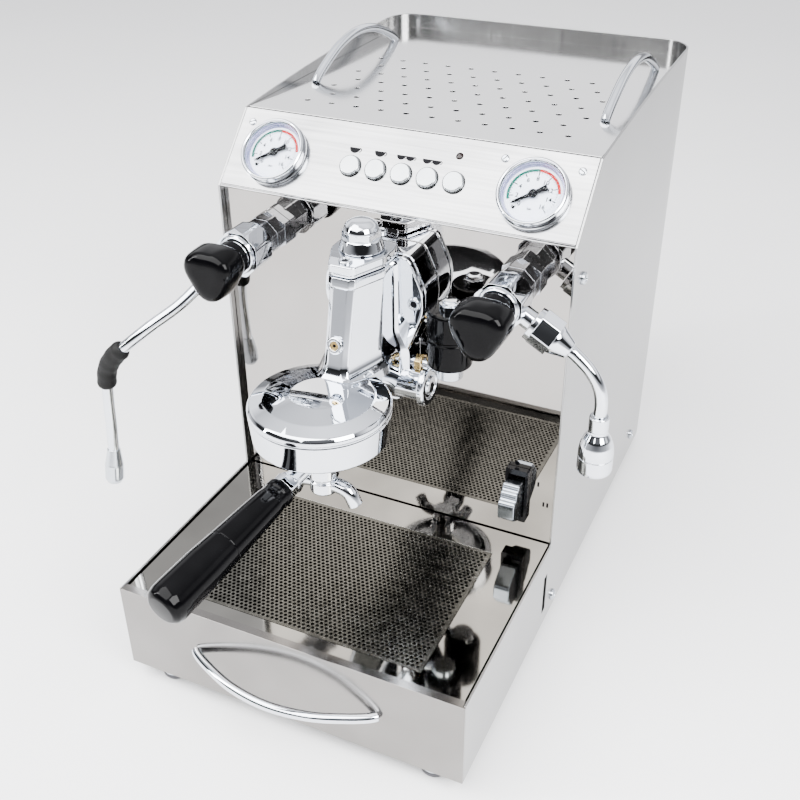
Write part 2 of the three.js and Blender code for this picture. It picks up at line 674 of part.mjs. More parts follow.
// ---------- inside and back ----------
function buildInside() {
  const shell = [[0, 120], [30, 124], [45, 138], [45, 300], [30, 314], [0, 318]];
  add(machine, "boiler", turned(shell, 24), COPPER, [0, 95, 0]);
  const pump = [[0, 0], [20, 0], [20, 55], [12, 57], [12, 92], [0, 92]];
  add(machine, "pump", turned(pump, 16).rotateX(-Math.PI / 2), BLACK, [85, 60, 50]);
  add(machine, "water_tank", openBox([-105, 185, 80], [105, 264, 335], 2.5), NATURAL);
  const [w, h] = [INLET.width / 2, INLET.height / 2];
  const housing = join(block([-w, -20, -h], [w, 1, h]), block([-w - 6, GAP, -h - 4], [w + 6, 2.3, h + 4]));
  const pin = (x, z) => block([x - 1, -17, z - 2.5], [x + 1, -3, z + 2.5]);
  const socket = cut(housing, block([3 - w, -16, 3 - h], [w - 3, 4, h - 3]));
  const inlet = join(socket, pin(-7, -2), pin(7, -2), pin(0, 2));
  add(machine, "mains_inlet", inlet, BLACK, [INLET.x, BODY_DEPTH, INLET.z]);
}

buildCase();
buildDrawer();
buildCupHandles();
buildPanelFittings();
buildSwitch();
buildValves();
buildSteamWand();
buildWaterWand();
buildGroup();
buildPortafilter();
buildInside();

machine.updateMatrixWorld(true);
const extent = new THREE.Box3().setFromObject(machine, true);
machine.position.set(-(extent.min.x + extent.max.x) / 2, -(extent.min.y + extent.max.y) / 2, -extent.min.z);
const part = new THREE.Group();
part.add(machine);

export default part;
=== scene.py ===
import json
from math import cos, pi, radians, sin, tau

import bmesh
import bpy
from mathutils import Matrix, Vector


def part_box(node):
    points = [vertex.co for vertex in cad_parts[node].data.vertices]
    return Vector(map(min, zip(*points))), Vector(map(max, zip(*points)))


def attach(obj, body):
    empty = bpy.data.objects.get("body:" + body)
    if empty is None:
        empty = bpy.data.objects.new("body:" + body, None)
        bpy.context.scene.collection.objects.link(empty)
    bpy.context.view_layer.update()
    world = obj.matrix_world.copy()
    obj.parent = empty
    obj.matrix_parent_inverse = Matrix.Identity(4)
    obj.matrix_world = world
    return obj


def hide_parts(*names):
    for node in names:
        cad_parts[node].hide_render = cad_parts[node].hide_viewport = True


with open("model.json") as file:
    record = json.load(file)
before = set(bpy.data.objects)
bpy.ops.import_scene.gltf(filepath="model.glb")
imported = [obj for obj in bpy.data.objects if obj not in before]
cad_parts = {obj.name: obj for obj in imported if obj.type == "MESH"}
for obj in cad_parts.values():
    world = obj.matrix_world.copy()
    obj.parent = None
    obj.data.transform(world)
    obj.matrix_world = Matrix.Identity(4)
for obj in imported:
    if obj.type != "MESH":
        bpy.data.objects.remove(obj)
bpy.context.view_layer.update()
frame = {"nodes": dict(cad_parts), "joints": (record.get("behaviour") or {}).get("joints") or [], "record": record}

MM = 0.001
PANEL_ANGLE = radians(45)
PANEL_RISE = 41.3
CAMERA_PLACE = (277.3, -569.5, 575.6)  # in the machine's own frame
CAMERA_AZIMUTH = radians(25.10)
CAMERA_ELEVATION = radians(32.51)
CAMERA_ROLL = radians(-0.40)
CAMERA_LENS = 48.42
CAMERA_SHIFT = (-0.0027, -0.0012)

SHEET = 1.5
PRINT_DEPTH = 0.04
PRINT_BASE = 0.01  # a print starts this far above its sheet
STROKE_GAIN = 0.025  # share of its size by which a numeral's strokes grow

BELL_FOOT = 201.8
SHANK_HEIGHT = 250.0
SHANK_RADIUS = 12.0
BOW_LENGTH = 137.0
BOW_RISE = 21.75  # from the feet of a pull handle to the middle of its bar
BOW_RADIUS = 3.25
PIPE_RADIUS = 4.0
OUTLET_DROP = radians(30)
OUTLET_REACH = 36.0
NEEDLE_ANGLE = radians(214)

BODY_OF = {node: body for body, nodes in frame["record"]["behaviour"]["bodies"].items() for node in nodes}
ANCHOR = {joint["name"]: Vector(joint["pos_m"]) for joint in frame["joints"] if "pos_m" in joint}


def middle(node):
    low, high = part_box(node)
    return (low + high) / 2


# ---------- local frames ----------
def shift(x, y, z=0.0):
    return Matrix.Translation((x, y, z))


def spin(angle, axis):
    return Matrix.Rotation(angle, 4, axis)


def frame_at(place, turn=Matrix.Identity(4), side=1):
    return Matrix.Translation(place) @ turn @ Matrix.Diagonal((side * MM, MM, MM, 1))


CENTRE_X = middle("body_wrap").x
WALL_FRONT_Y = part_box("control_panel")[0].y
MIRROR_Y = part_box("front_panel")[0].y
FACING = spin(pi / 2, "X")  # +Z of the local frame runs out of the polished panel

MACHINE = frame_at((CENTRE_X, WALL_FRONT_Y, 0))
PANEL = frame_at(
    (CENTRE_X, WALL_FRONT_Y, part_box("control_panel")[0].z), spin(PANEL_ANGLE, "X")
)
FRONT = frame_at((CENTRE_X, MIRROR_Y, 0), FACING)
BELL = frame_at((ANCHOR["portafilter_turn"].x, ANCHOR["portafilter_turn"].y, 0))


def within(local, node):
    return local.inverted() @ middle(node)


def box_in(local, node):
    """The lowest and highest corner of a node in a local frame."""
    ends = [local.inverted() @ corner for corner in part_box(node)]
    return Vector(map(min, *ends)), Vector(map(max, *ends))


def shifted(local, x, y, z=0.0):
    return local @ shift(x, y, z)


def pointed(start, end):
    """A frame at a point of the machine's frame, with its +Z towards another."""
    way = Vector((0, 0, 1)).rotation_difference(end - start)
    return MACHINE @ Matrix.Translation(start) @ way.to_matrix().to_4x4()


# ---------- outlines ----------
def corner_curve(before, corner, after, radius, steps):
    to_start, to_end = before - corner, after - corner
    reach = min(radius, 0.45 * to_start.length, 0.45 * to_end.length)
    start = corner + to_start.normalized() * reach
    end = corner + to_end.normalized() * reach
    shares = [i / steps for i in range(steps + 1)]
    return [start * (1 - t) ** 2 + corner * (2 * t * (1 - t)) + end * t * t for t in shares]


def rounded(points, radius, steps=4):
    """An open profile with each corner turned into a small curve."""
    points = [Vector(p) for p in points]
    made = [points[0]]
    for before, corner, after in zip(points, points[1:], points[2:]):
        made += corner_curve(before, corner, after, radius, steps)
    return [tuple(p) for p in made + [points[-1]]]


def rounded_loop(points, radius, steps=4):
    points = [Vector(p) for p in points]
    made = []
    for i, corner in enumerate(points):
        made += corner_curve(points[i - 1], corner, points[(i + 1) % len(points)], radius, steps)
    return [tuple(p) for p in made]


def ring(radius, sides=48, turn=0.0):
    angles = [turn + tau * i / sides for i in range(sides)]
    return [(radius * cos(a), radius * sin(a)) for a in angles]


def ring_at(x, y, radius, sides=48):
    return [(x + u, y + v) for u, v in ring(radius, sides)]


def rectangle(x0, y0, x1, y1):
    return [(x0, y0), (x1, y0), (x1, y1), (x0, y1)]


def smooth_path(points, steps):
    """The Catmull-Rom curve through the points."""
    points = [Vector(p) for p in points]
    last = len(points) - 1
    made = []
    for k in range(steps + 1):
        place = min(k / steps * last, last - 1e-9)
        i = int(place)
        t = place - i
        a, b, c, d = (points[max(0, min(last, i + near))] for near in (-1, 0, 1, 2))
        square, cube = 2 * a - 5 * b + 4 * c - d, 3 * b - a - 3 * c + d
        made.append(0.5 * (2 * b + (c - a) * t + square * t * t + cube * t ** 3))
    return made


def even_path(points, steps):
    """The same line with its points an even distance apart."""
    reach = [0.0]
    for a, b in zip(points, points[1:]):
        reach.append(reach[-1] + (b - a).length)
    made, k = [], 0
    for i in range(steps + 1):
        want = reach[-1] * i / steps
        while k < len(points) - 2 and reach[k + 1] < want:
            k += 1
        made.append(points[k].lerp(points[k + 1], (want - reach[k]) / (reach[k + 1] - reach[k])))
    return made


# ---------- solids, each as (vertices, faces) ----------
def skin(rings, closed=False):
    count = len(rings[0])
    verts = [tuple(p) for loop in rings for p in loop]
    faces = []
    for k in range(len(rings) - 1):
        for i in range(count):
            j = (i + 1) % count
            faces.append((k * count + i, k * count + j, (k + 1) * count + j, (k + 1) * count + i))
    if not closed:
        faces.append(tuple(reversed(range(count))))
        faces.append(tuple(range(len(verts) - count, len(verts))))
    return verts, faces


def turned(profile, sides=96):
    """A body turned about +Z from [radius, height] points that start and end on the axis, or meet."""
    return skin([[(x, y, z) for x, y in ring(r, sides)] for r, z in profile], closed=True)


def round_body(profile, soft, sides, steps=4):
    """A turned body with softened corners. A profile that isn't a loop is closed on the axis."""
    (first_r, first_z), (last_r, last_z) = profile[0], profile[-1]
    if profile[0] != profile[-1]:
        profile = [(0, first_z)] * (first_r > 0) + profile + [(0, last_z)] * (last_r > 0)
    return turned(rounded(profile, soft, steps), sides)


def slab(outline, low, high):
    return skin([[(x, y, low) for x, y in outline], [(x, y, high) for x, y in outline]])


def tube(path, radius, sides=32):
    """A round bar along a path. The radius is a number or a function of the share of the length."""
    tangents = [(b - a).normalized() for a, b in zip(path, path[1:])]
    tangents.append(tangents[-1])
    side = tangents[0].orthogonal().normalized()
    rings = []
    for i, (point, tangent) in enumerate(zip(path, tangents)):
        side = (side - tangent * side.dot(tangent)).normalized()
        other = tangent.cross(side)
        r = radius(i / (len(path) - 1)) if callable(radius) else radius
        rings.append([point + side * x + other * y for x, y in ring(r, sides)])
    return skin(rings)


def moved(made, move):
    return [tuple(move @ Vector(v)) for v in made[0]], made[1]


def joined(*parts):
    verts, faces = [], []
    for more_verts, more_faces in parts:
        base = len(verts)
        verts += more_verts
        faces += [tuple(base + i for i in face) for face in more_faces]
    return verts, faces


def from_object(made):
    """The evaluated mesh of a curve or text object, which is then removed."""
    bpy.context.scene.collection.objects.link(made)
    bpy.context.view_layer.update()
    mesh = bpy.data.meshes.new_from_object(made.evaluated_get(bpy.context.evaluated_depsgraph_get()))
    result = [tuple(v.co) for v in mesh.vertices], [tuple(p.vertices) for p in mesh.polygons]
    bpy.data.objects.remove(made)
    bpy.data.meshes.remove(mesh)
    return result


def pierced(outline, holes, low, high):
    """A plate between two heights, with holes."""
    curve = bpy.data.curves.new("plate_outline", "CURVE")
    curve.dimensions = "2D"
    curve.fill_mode = "BOTH"
    curve.extrude = (high - low) / 2
    for loop in [outline, *holes]:
        line = curve.splines.new("POLY")
        line.points.add(len(loop) - 1)
        for point, (x, y) in zip(line.points, loop):
            point.co = (x, y, 0, 1)
        line.use_cyclic_u = True
    place = shift(0, 0, (low + high) / 2)
    return moved(from_object(bpy.data.objects.new("plate_outline", curve)), place)


def lettering(text, size, x, y, z):
    curve = bpy.data.curves.new("lettering", "FONT")
    curve.body = text
    curve.size = size
    curve.offset = STROKE_GAIN * size
    curve.align_x = "CENTER"
    curve.align_y = "CENTER"
    curve.extrude = PRINT_DEPTH / 2
    return moved(from_object(bpy.data.objects.new("lettering", curve)), shift(x, y, z))


# ---------- finishes ----------
def add(nodes, kind, **values):
    """A new shader node. A value's name is that of its input, with _ for a space."""
    made = nodes.new("ShaderNode" + kind)
    for name, value in values.items():
        made.inputs[name.replace("_", " ")].default_value = value
    return made


def add_ramp(nodes, stops):
    """A colour ramp through stops of a position and a colour."""
    made = nodes.new("ShaderNodeValToRGB")
    first, last = made.color_ramp.elements
    for stop, (position, colour) in ((first, stops[0]), (last, stops[-1])):
        stop.position = position
        stop.color = (*colour, 1)
    for position, colour in stops[1:-1]:
        made.color_ramp.elements.new(position).color = (*colour, 1)
    return made


NOISE_LOW, NOISE_HIGH = 0.3, 0.7  # the part of a noise between which a finish changes
DRIFT_SHARE = 0.6
RELIEF_DEPTH = 0.0002


def finish(
    name, low, high, rough, metallic=0.0, scale=40.0, stretch=(1, 1, 1), bump=0.0, shine=0.5, drift=0.0
):
    """A surface whose colour, roughness and fine relief follow a noise, stretched where it is brushed.

    With drift, broad wavering bands of that noise scale add to the colour and the roughness.
    """
    made = bpy.data.materials.new(name)
    made.use_nodes = True
    nodes, links = made.node_tree.nodes, made.node_tree.links
    surface = nodes["Principled BSDF"]
    surface.inputs["Metallic"].default_value = metallic
    surface.inputs["Specular IOR Level"].default_value = shine
    where = nodes.new("ShaderNodeTexCoord")
    mapping = add(nodes, "Mapping", Scale=stretch)
    noise = add(nodes, "TexNoise", Scale=scale, Detail=4.0)
    ramp = add_ramp(nodes, ((NOISE_LOW, low), (NOISE_HIGH, high)))
    gloss = add(nodes, "MapRange", From_Min=NOISE_LOW, From_Max=NOISE_HIGH)
    gloss.inputs["To Min"].default_value, gloss.inputs["To Max"].default_value = rough
    links.new(where.outputs["Object"], mapping.inputs["Vector"])
    links.new(mapping.outputs["Vector"], noise.inputs["Vector"])
    grain = noise.outputs["Fac"]
    if drift:
        bands = add(nodes, "TexNoise", Scale=drift, Detail=2.0, Distortion=1.6)
        both = add(nodes, "Mix", Factor=DRIFT_SHARE)
        links.new(where.outputs["Object"], bands.inputs["Vector"])
        links.new(noise.outputs["Fac"], both.inputs["A"])
        links.new(bands.outputs["Fac"], both.inputs["B"])
        grain = both.outputs["Result"]
    links.new(grain, ramp.inputs["Fac"])
    links.new(grain, gloss.inputs["Value"])
    links.new(ramp.outputs["Color"], surface.inputs["Base Color"])
    links.new(gloss.outputs["Result"], surface.inputs["Roughness"])
    if bump:
        relief = add(nodes, "Bump", Strength=bump, Distance=RELIEF_DEPTH)
        links.new(noise.outputs["Fac"], relief.inputs["Height"])
        links.new(relief.outputs["Normal"], surface.inputs["Normal"])
    return made


def clear_glass(name):
    """Thin glass that lets the dial show and reflects more towards its edge."""
    made = bpy.data.materials.new(name)
    made.use_nodes = True
    nodes, links = made.node_tree.nodes, made.node_tree.links
    nodes.remove(nodes["Principled BSDF"])
    where = nodes.new("ShaderNodeTexCoord")
    noise = add(nodes, "TexNoise", Scale=90.0)
    tint = add_ramp(nodes, ((0.0, (0.93, 0.95, 0.97)), (1.0, (0.99, 1.0, 1.0))))
    through = nodes.new("ShaderNodeBsdfTransparent")
    gloss = add(nodes, "BsdfGlossy", Roughness=0.01)
    edge = add(nodes, "Fresnel", IOR=1.12)
    mix = nodes.new("ShaderNodeMixShader")
    links.new(where.outputs["Object"], noise.inputs["Vector"])
    links.new(noise.outputs["Fac"], tint.inputs["Fac"])
    links.new(tint.outputs["Color"], through.inputs["Color"])
    links.new(edge.outputs["Fac"], mix.inputs["Fac"])
    links.new(through.outputs["BSDF"], mix.inputs[1])
    links.new(gloss.outputs["BSDF"], mix.inputs[2])
    links.new(mix.outputs["Shader"], nodes["Material Output"].inputs["Surface"])
    return made


# Each finish: darkest and lightest colour, smoothest and roughest, how metallic, scale of the noise.
# Brushed steel of the side walls, its colour darkened below that of the steel: painted shade.
UPRIGHT_STEEL_PAINTED_SHADE = finish(
    "brushed_steel_upright_painted_shade", (0.25, 0.25, 0.25), (0.36, 0.36, 0.36), (0.17, 0.25), 1.0, 1.0,
    stretch=(700, 700, 12), bump=0.04, drift=5.0,
)
LEVEL_STEEL = finish(
    "brushed_steel_level", (0.20, 0.20, 0.205), (0.46, 0.46, 0.465), (0.14, 0.2), 1.0, 1.0,
    stretch=(12, 500, 500), bump=0.02, drift=7.0,
)
# Polished steel of the front panel, darkened and tinted beige: painted reflection of the pale floor and the darker
# room.
MIRROR_STEEL_PAINTED_REFLECTION = finish(
    "mirror_steel_painted_reflection", (0.25, 0.238, 0.226), (0.37, 0.353, 0.336), (0.015, 0.04), 1.0, 9.0,
    bump=0.02, drift=4.0,
)
# Polished steel of the tray deck, darkened well below that of the steel: painted dark reflection.
DECK_STEEL_PAINTED_REFLECTION = finish(
    "deck_steel_painted_reflection", (0.16, 0.155, 0.144), (0.30, 0.292, 0.27), (0.03, 0.07), 1.0, 14.0, bump=0.03, drift=6.0
)
PLATE_STEEL = finish(
    "cup_plate_steel", (0.60, 0.60, 0.60), (0.72, 0.72, 0.72), (0.10, 0.17), 1.0, 22.0,
    bump=0.04, drift=4.0,
)
# A darker copy of the sheet steel for the drawer front: painted dark reflection.
DRAWER_STEEL_PAINTED_REFLECTION = finish(
    "drawer_steel_painted_reflection", (0.17, 0.162, 0.154), (0.26, 0.249, 0.238), (0.12, 0.2), 1.0, 18.0,
    bump=0.03, drift=4.0,
)
SATIN_STEEL = finish("satin_steel", (0.37, 0.367, 0.363), (0.43, 0.427, 0.423), (0.2, 0.3), 1.0, 300.0)
# Steel of the grille, darkened to near black: painted dark reflection of the front panel.
GRILLE_STEEL_PAINTED_REFLECTION = finish("grille_steel_painted_reflection", (0.07, 0.068, 0.06), (0.13, 0.126, 0.112), (0.2, 0.3), 1.0, 160.0)
# Near-black pan under the grille, seen through its holes: painted shade.
PAN_PAINTED_SHADE = finish("pan_painted_shade", (0.03, 0.03, 0.028), (0.05, 0.05, 0.045), (0.4, 0.5), 1.0, 60.0)
CHROME = finish("chrome", (0.63, 0.66, 0.71), (0.69, 0.72, 0.77), (0.015, 0.035), 1.0, 30.0)
SATIN_CHROME = finish("satin_chrome", (0.46, 0.49, 0.53), (0.54, 0.57, 0.61), (0.14, 0.22), 1.0, 120.0)
BARREL_STEEL = finish("barrel_steel", (0.33, 0.34, 0.36), (0.40, 0.41, 0.44), (0.16, 0.22), 1.0, 120.0)
BUTTON_STEEL = finish("button_steel", (0.34, 0.36, 0.375), (0.40, 0.42, 0.435), (0.16, 0.24), 1.0, 90.0)
BRASS = finish("turned_brass", (0.55, 0.38, 0.14), (0.72, 0.53, 0.24), (0.12, 0.24), 1.0, 200.0)
COPPER = finish("drawn_copper", (0.52, 0.24, 0.14), (0.66, 0.34, 0.20), (0.22, 0.4), 1.0, 50.0)
SWITCH_LACQUER = finish("switch_lacquer", (0.26, 0.29, 0.33), (0.32, 0.35, 0.39), (0.12, 0.2), 1.0, 90.0)
BAKELITE = finish(
    "black_bakelite", (0.0006, 0.0006, 0.0008), (0.0014, 0.0014, 0.0017), (0.05, 0.1), 0.0, 60.0,
    shine=0.07,
)
BLACK_PLASTIC = finish(
    "black_plastic", (0.002, 0.002, 0.0025), (0.005, 0.005, 0.006), (0.2, 0.34), 0.0, 90.0, shine=0.15
)
RUBBER = finish(
    "black_rubber", (0.002, 0.002, 0.002), (0.005, 0.005, 0.005), (0.5, 0.7), 0.0, 500.0,
    bump=0.25, shine=0.15,
)
FOOT_RUBBER = finish(
    "grey_rubber", (0.04, 0.04, 0.045), (0.07, 0.07, 0.08), (0.5, 0.65), 0.0, 300.0, bump=0.1
)
DIAL_WHITE = finish("dial_enamel", (0.76, 0.77, 0.86), (0.84, 0.85, 0.92), (0.35, 0.45), 0.0, 70.0)
GAUGE_RING = finish("gauge_ring", (0.26, 0.25, 0.42), (0.34, 0.33, 0.52), (0.25, 0.35), 0.5, 90.0)
NATURAL = finish("natural_plastic", (0.72, 0.75, 0.75), (0.80, 0.83, 0.83), (0.35, 0.45), 0.0, 25.0)
# Black for print, the needles and the stop pins, and also painted shade in screw sockets, screw slots and a pit.
INK_AND_PAINTED_SHADE = finish(
    "black_print_and_painted_shade", (0.001, 0.001, 0.002), (0.003, 0.003, 0.004), (0.4, 0.5), 0.0, 200.0, shine=0.05
)
GREEN_PRINT = finish(
    "green_print", (0.002, 0.07, 0.05), (0.004, 0.10, 0.075), (0.4, 0.5), 0.0, 150.0, shine=0.1
)
RED_PRINT = finish(
    "red_print", (0.34, 0.006, 0.008), (0.44, 0.012, 0.014), (0.4, 0.5), 0.0, 150.0, shine=0.1
)
LENS = finish(
    "dark_lens", (0.004, 0.001, 0.001), (0.009, 0.002, 0.002), (0.08, 0.12), 0.0, 200.0, shine=0.3
)
GLASS = clear_glass("gauge_glass_clear")


# ---------- pieces ----------
def put(name, data):
    made = bpy.data.objects.new(name, data)
    bpy.context.scene.collection.objects.link(made)
    return made


WELD_DISTANCE = 2e-6
SOFT_ANGLE = radians(28)  # a corner sharper than this is bevelled


def piece(
    name, made, place, look, node, stands_for=True, edge=0.0, sharp=30.0, segments=3
):
    """Puts a solid into the scene on the body of a CAD node, which it stands for unless it is an extra.

    Edge is the width of its bevels in millimetres, and faces that meet at more than the sharp angle keep an edge
    between them.
    """
    mesh = bpy.data.meshes.new(name)
    verts, faces = made
    mesh.from_pydata([place @ Vector(v) for v in verts], [], faces)
    work = bmesh.new()
    work.from_mesh(mesh)
    bmesh.ops.remove_doubles(work, verts=work.verts, dist=WELD_DISTANCE)
    bmesh.ops.recalc_face_normals(work, faces=work.faces)
    work.to_mesh(mesh)
    work.free()
    mesh.shade_smooth()
    mesh.set_sharp_from_angle(angle=radians(sharp))
    mesh.materials.append(look)
    obj = put(name, mesh)
    if edge:
        bevel = obj.modifiers.new("soft_edges", "BEVEL")
        bevel.width = edge * MM
        bevel.segments = segments
        bevel.limit_method = "ANGLE"
        bevel.angle_limit = SOFT_ANGLE
        bevel.harden_normals = True
    flats = obj.modifiers.new("flat_faces", "WEIGHTED_NORMAL")
    flats.keep_sharp = True
    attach(obj, BODY_OF[node])
    if stands_for:
        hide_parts(node)
    return obj


def sheet_from(node, look, edge=0.25):
    """The CAD node's own sheet with welded corners and softened edges."""
    source = frame["nodes"][node].data
    made = [tuple(v.co) for v in source.vertices], [tuple(p.vertices) for p in source.polygons]
    return piece(node + "_sheet", made, Matrix.Identity(4), look, node, edge=edge, segments=2)


# ---------- case ----------
def build_case():
    sheet_from("body_wrap", UPRIGHT_STEEL_PAINTED_SHADE)
    sheet_from("base_plate", SATIN_STEEL)
    sheet_from("drawer_front", DRAWER_STEEL_PAINTED_REFLECTION, 0.3)
    sheet_from("drip_pan", PAN_PAINTED_SHADE)
    sheet_from("boiler", COPPER)
    sheet_from("pump", BLACK_PLASTIC)
    sheet_from("water_tank", NATURAL)
    sheet_from("mains_inlet", BLACK_PLASTIC)


CASE_RADIUS = 24.0
CORNER_STEPS = 10


def case_plan(inset, front):
    """Quarter-round rear corners between two straight sides, from the front left."""
    high = box_in(MACHINE, "body_wrap")[1]
    loop = [(inset - high.x, front)]
    for side, start in ((-1, pi), (1, pi / 2)):
        for i in range(CORNER_STEPS + 1):
            angle = start - i * pi / 2 / CORNER_STEPS
            x = side * (high.x - CASE_RADIUS) + (CASE_RADIUS - inset) * cos(angle)
            loop.append((x, high.y - CASE_RADIUS + (CASE_RADIUS - inset) * sin(angle)))
    return loop + [(high.x - inset, front)]


PLATE_ROWS = 7
PLATE_HOLES = (11, 10)  # in the even rows and in the odd ones
PLATE_PITCH = (18.7, 19.4)
PLATE_FIRST_ROW = 71.7
PLATE_INSET = 1.8


def build_cup_plate():
    low, high = box_in(MACHINE, "cup_plate")
    holes = []
    for row in range(PLATE_ROWS):
        count = PLATE_HOLES[row % 2]
        for i in range(count):
            x = (i - (count - 1) / 2) * PLATE_PITCH[0]
            holes.append(ring_at(x, PLATE_FIRST_ROW + row * PLATE_PITCH[1], 2.0, 24))
    made = pierced(case_plan(PLATE_INSET, low.y), holes, low.z, high.z)
    piece("cup_plate_sheet", made, MACHINE, PLATE_STEEL, "cup_plate", edge=0.15, segments=2)


def build_mirror():
    """Polished panel with holes for the two valves, the shank of the group and the switch."""
    low, high = box_in(FRONT, "front_panel")
    steam, water, switch = (within(FRONT, n) for n in ("steam_knob", "water_knob", "switch_frame"))
    holes = [
        ring_at(steam.x, steam.y, 8.3),
        ring_at(water.x, water.y, 8.3),
        ring_at(0, SHANK_HEIGHT, SHANK_RADIUS + 0.3),
        rectangle(switch.x - 7.2, switch.y - 18.7, switch.x + 7.2, switch.y + 18.7),
    ]
    made = pierced(rectangle(low.x, low.y, high.x, high.y), holes, low.z, high.z)
    piece("mirror_sheet", made, FRONT, MIRROR_STEEL_PAINTED_REFLECTION, "front_panel", edge=0.2, segments=2)


def build_control_panel():
    half = (PANEL.inverted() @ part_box("control_panel")[1]).x
    run = PANEL_RISE / sin(PANEL_ANGLE)
    holes = [ring_at(*within(PANEL, "gauge_dial_" + side).xy, 20.4, 64) for side in ("left", "right")]
    holes += [ring_at(*within(PANEL, "button_%d" % i).xy, 7.4) for i in range(1, 6)]
    holes.append(ring_at(*within(PANEL, "pilot_lamp").xy, 2.4, 24))
    face = pierced(rectangle(-half, 0, half, run), holes, -SHEET, 0)
    lip = moved(slab(rectangle(-half, 0.3, half, 6.5), 0, SHEET), spin(-PANEL_ANGLE, "X"))
    made = joined(face, lip)
    piece("control_panel_sheet", made, PANEL, LEVEL_STEEL, "control_panel", edge=0.15, segments=2)


def grown(box, by):
    """The plan of a box with every side moved out."""
    low, high = box
    return rectangle(low.x - by, low.y - by, high.x + by, high.y + by)


def build_deck():
    """Sheet with a window for the grille, and under it the ledge that the grille lies on."""
    deck = box_in(MACHINE, "tray_deck")
    grille = box_in(MACHINE, "drip_grille")
    top = deck[1].z
    sheet = pierced(grown(deck, 0), [grown(grille, 0.4)], top - SHEET, top)
    under = pierced(grown(grille, 4), [grown(grille, -3)], top - 2 * SHEET, top - SHEET)
    made = joined(sheet, under)
    piece("tray_deck_sheet", made, MACHINE, DECK_STEEL_PAINTED_REFLECTION, "tray_deck", edge=0.15, segments=2)


GRILLE_HOLE = 1.2
GRILLE_HOLE_SIDES = 12
GRILLE_PITCH = (3.3, 2.86)
GRILLE_BORDER = 2.0
GRILLE_DEPTH = 1.0


def grille_cell(step_x, step_y):
    """A rectangle of sheet around one hole, centred on it, from 0 down to the sheet's depth."""
    sides = GRILLE_HOLE_SIDES
    hole = ring(GRILLE_HOLE, sides, pi / sides)
    corners = rectangle(-step_x / 2, -step_y / 2, step_x / 2, step_y / 2)
    # The cell's border has one point for each point of the hole.
    border = []
    for x, y in hole:
        reach = max(abs(x) / (step_x / 2), abs(y) / (step_y / 2))
        border.append((x / reach, y / reach))
    layer = 2 * sides + 4
    verts = [(x, y, z) for z in (0, -GRILLE_DEPTH) for x, y in border + hole + corners]
    faces = []
    for i in range(sides):
        j = (i + 1) % sides
        upper = [i, j, sides + j, sides + i]
        faces += [upper, [layer + k for k in reversed(upper)]]
        faces.append([sides + i, sides + j, layer + sides + j, layer + sides + i])
        # Where the border turns from one side to the next, a triangle fills the corner.
        (xi, yi), (xj, yj) = border[i], border[j]
        if abs(abs(xi) - abs(xj)) > 1e-6 and abs(abs(yi) - abs(yj)) > 1e-6:
            for k, (x, y) in enumerate(corners, 2 * sides):
                if x * (xi + xj) > 0 and y * (yi + yj) > 0:
                    faces += [[i, k, j], [layer + j, layer + k, layer + i]]
    return verts, [tuple(face) for face in faces]


def build_grille():
    """Perforated sheet with each row of holes half a pitch beside the last."""
    low, high = box_in(MACHINE, "drip_grille")
    x0, y0 = low.x + GRILLE_BORDER, low.y + GRILLE_BORDER
    x1, y1 = high.x - GRILLE_BORDER, high.y - GRILLE_BORDER
    columns, rows = int((x1 - x0) / GRILLE_PITCH[0]), int((y1 - y0) / GRILLE_PITCH[1])
    step_x, step_y = (x1 - x0) / columns, (y1 - y0) / rows
    cell_verts, cell_faces = grille_cell(step_x, step_y)
    verts, faces = [], []

    def bar(left, front, right, back):
        base = len(verts)
        outline = rectangle(left, front, right, back)
        verts.extend((x, y, z) for z in (high.z - GRILLE_DEPTH, high.z) for x, y in outline)
        faces.extend([(base, base + 3, base + 2, base + 1), (base + 4, base + 5, base + 6, base + 7)])
        for i in range(4):
            j = (i + 1) % 4
            faces.append((base + i, base + j, base + 4 + j, base + 4 + i))

    for row in range(rows):
        shift = step_x / 2 * (row % 2)
        front = y0 + row * step_y
        for i in range(columns - row % 2):
            base = len(verts)
            x, y = x0 + shift + (i + 0.5) * step_x, front + step_y / 2
            verts += [(x + u, y + v, high.z + w) for u, v, w in cell_verts]
            faces += [tuple(base + k for k in face) for face in cell_faces]
        if shift:
            bar(x0, front, x0 + shift, front + step_y)
            bar(x1 - shift, front, x1, front + step_y)
    bar(low.x, low.y, high.x, y0)
    bar(low.x, y1, high.x, high.y)
    bar(low.x, y0, x0, y1)
    bar(x1, y0, high.x, y1)
    piece("perforated_grille", (verts, faces), MACHINE, GRILLE_STEEL_PAINTED_REFLECTION, "drip_grille", sharp=20)


def build_feet():
    pad = round_body([(8, 0), (9.5, 2), (9.4, 4.2)], 0.7, 64)
    sleeve = round_body([(9.2, 4.3), (8.6, 10.5), (7.2, 13.6)], 0.8, 64)
    for row in ("front", "rear"):
        for side in ("left", "right"):
            node = "foot_%s_%s" % (row, side)
            place = middle(node)
            local = frame_at((place.x, place.y, 0))
            piece(node + "_pad", pad, local, FOOT_RUBBER, node)
            piece(node + "_sleeve", sleeve, local, SATIN_CHROME, node, False)


def bow():
    """A bowed bar between two feet, cut off where it would run into the sheet it stands on."""
    shares = (-1, -0.96, -0.75, -0.4, 0, 0.4, 0.75, 0.96, 1)
    heights = [-4.0 if abs(t) == 1 else BOW_RISE * (1 - t * t) for t in shares]
    points = [(t * BOW_LENGTH / 2, 0, z) for t, z in zip(shares, heights)]
    path = even_path(smooth_path(points, 200), 96)
    return tube([Vector((p.x, p.y, max(p.z, 0.0))) for p in path if p.z > -0.8], BOW_RADIUS, 32)


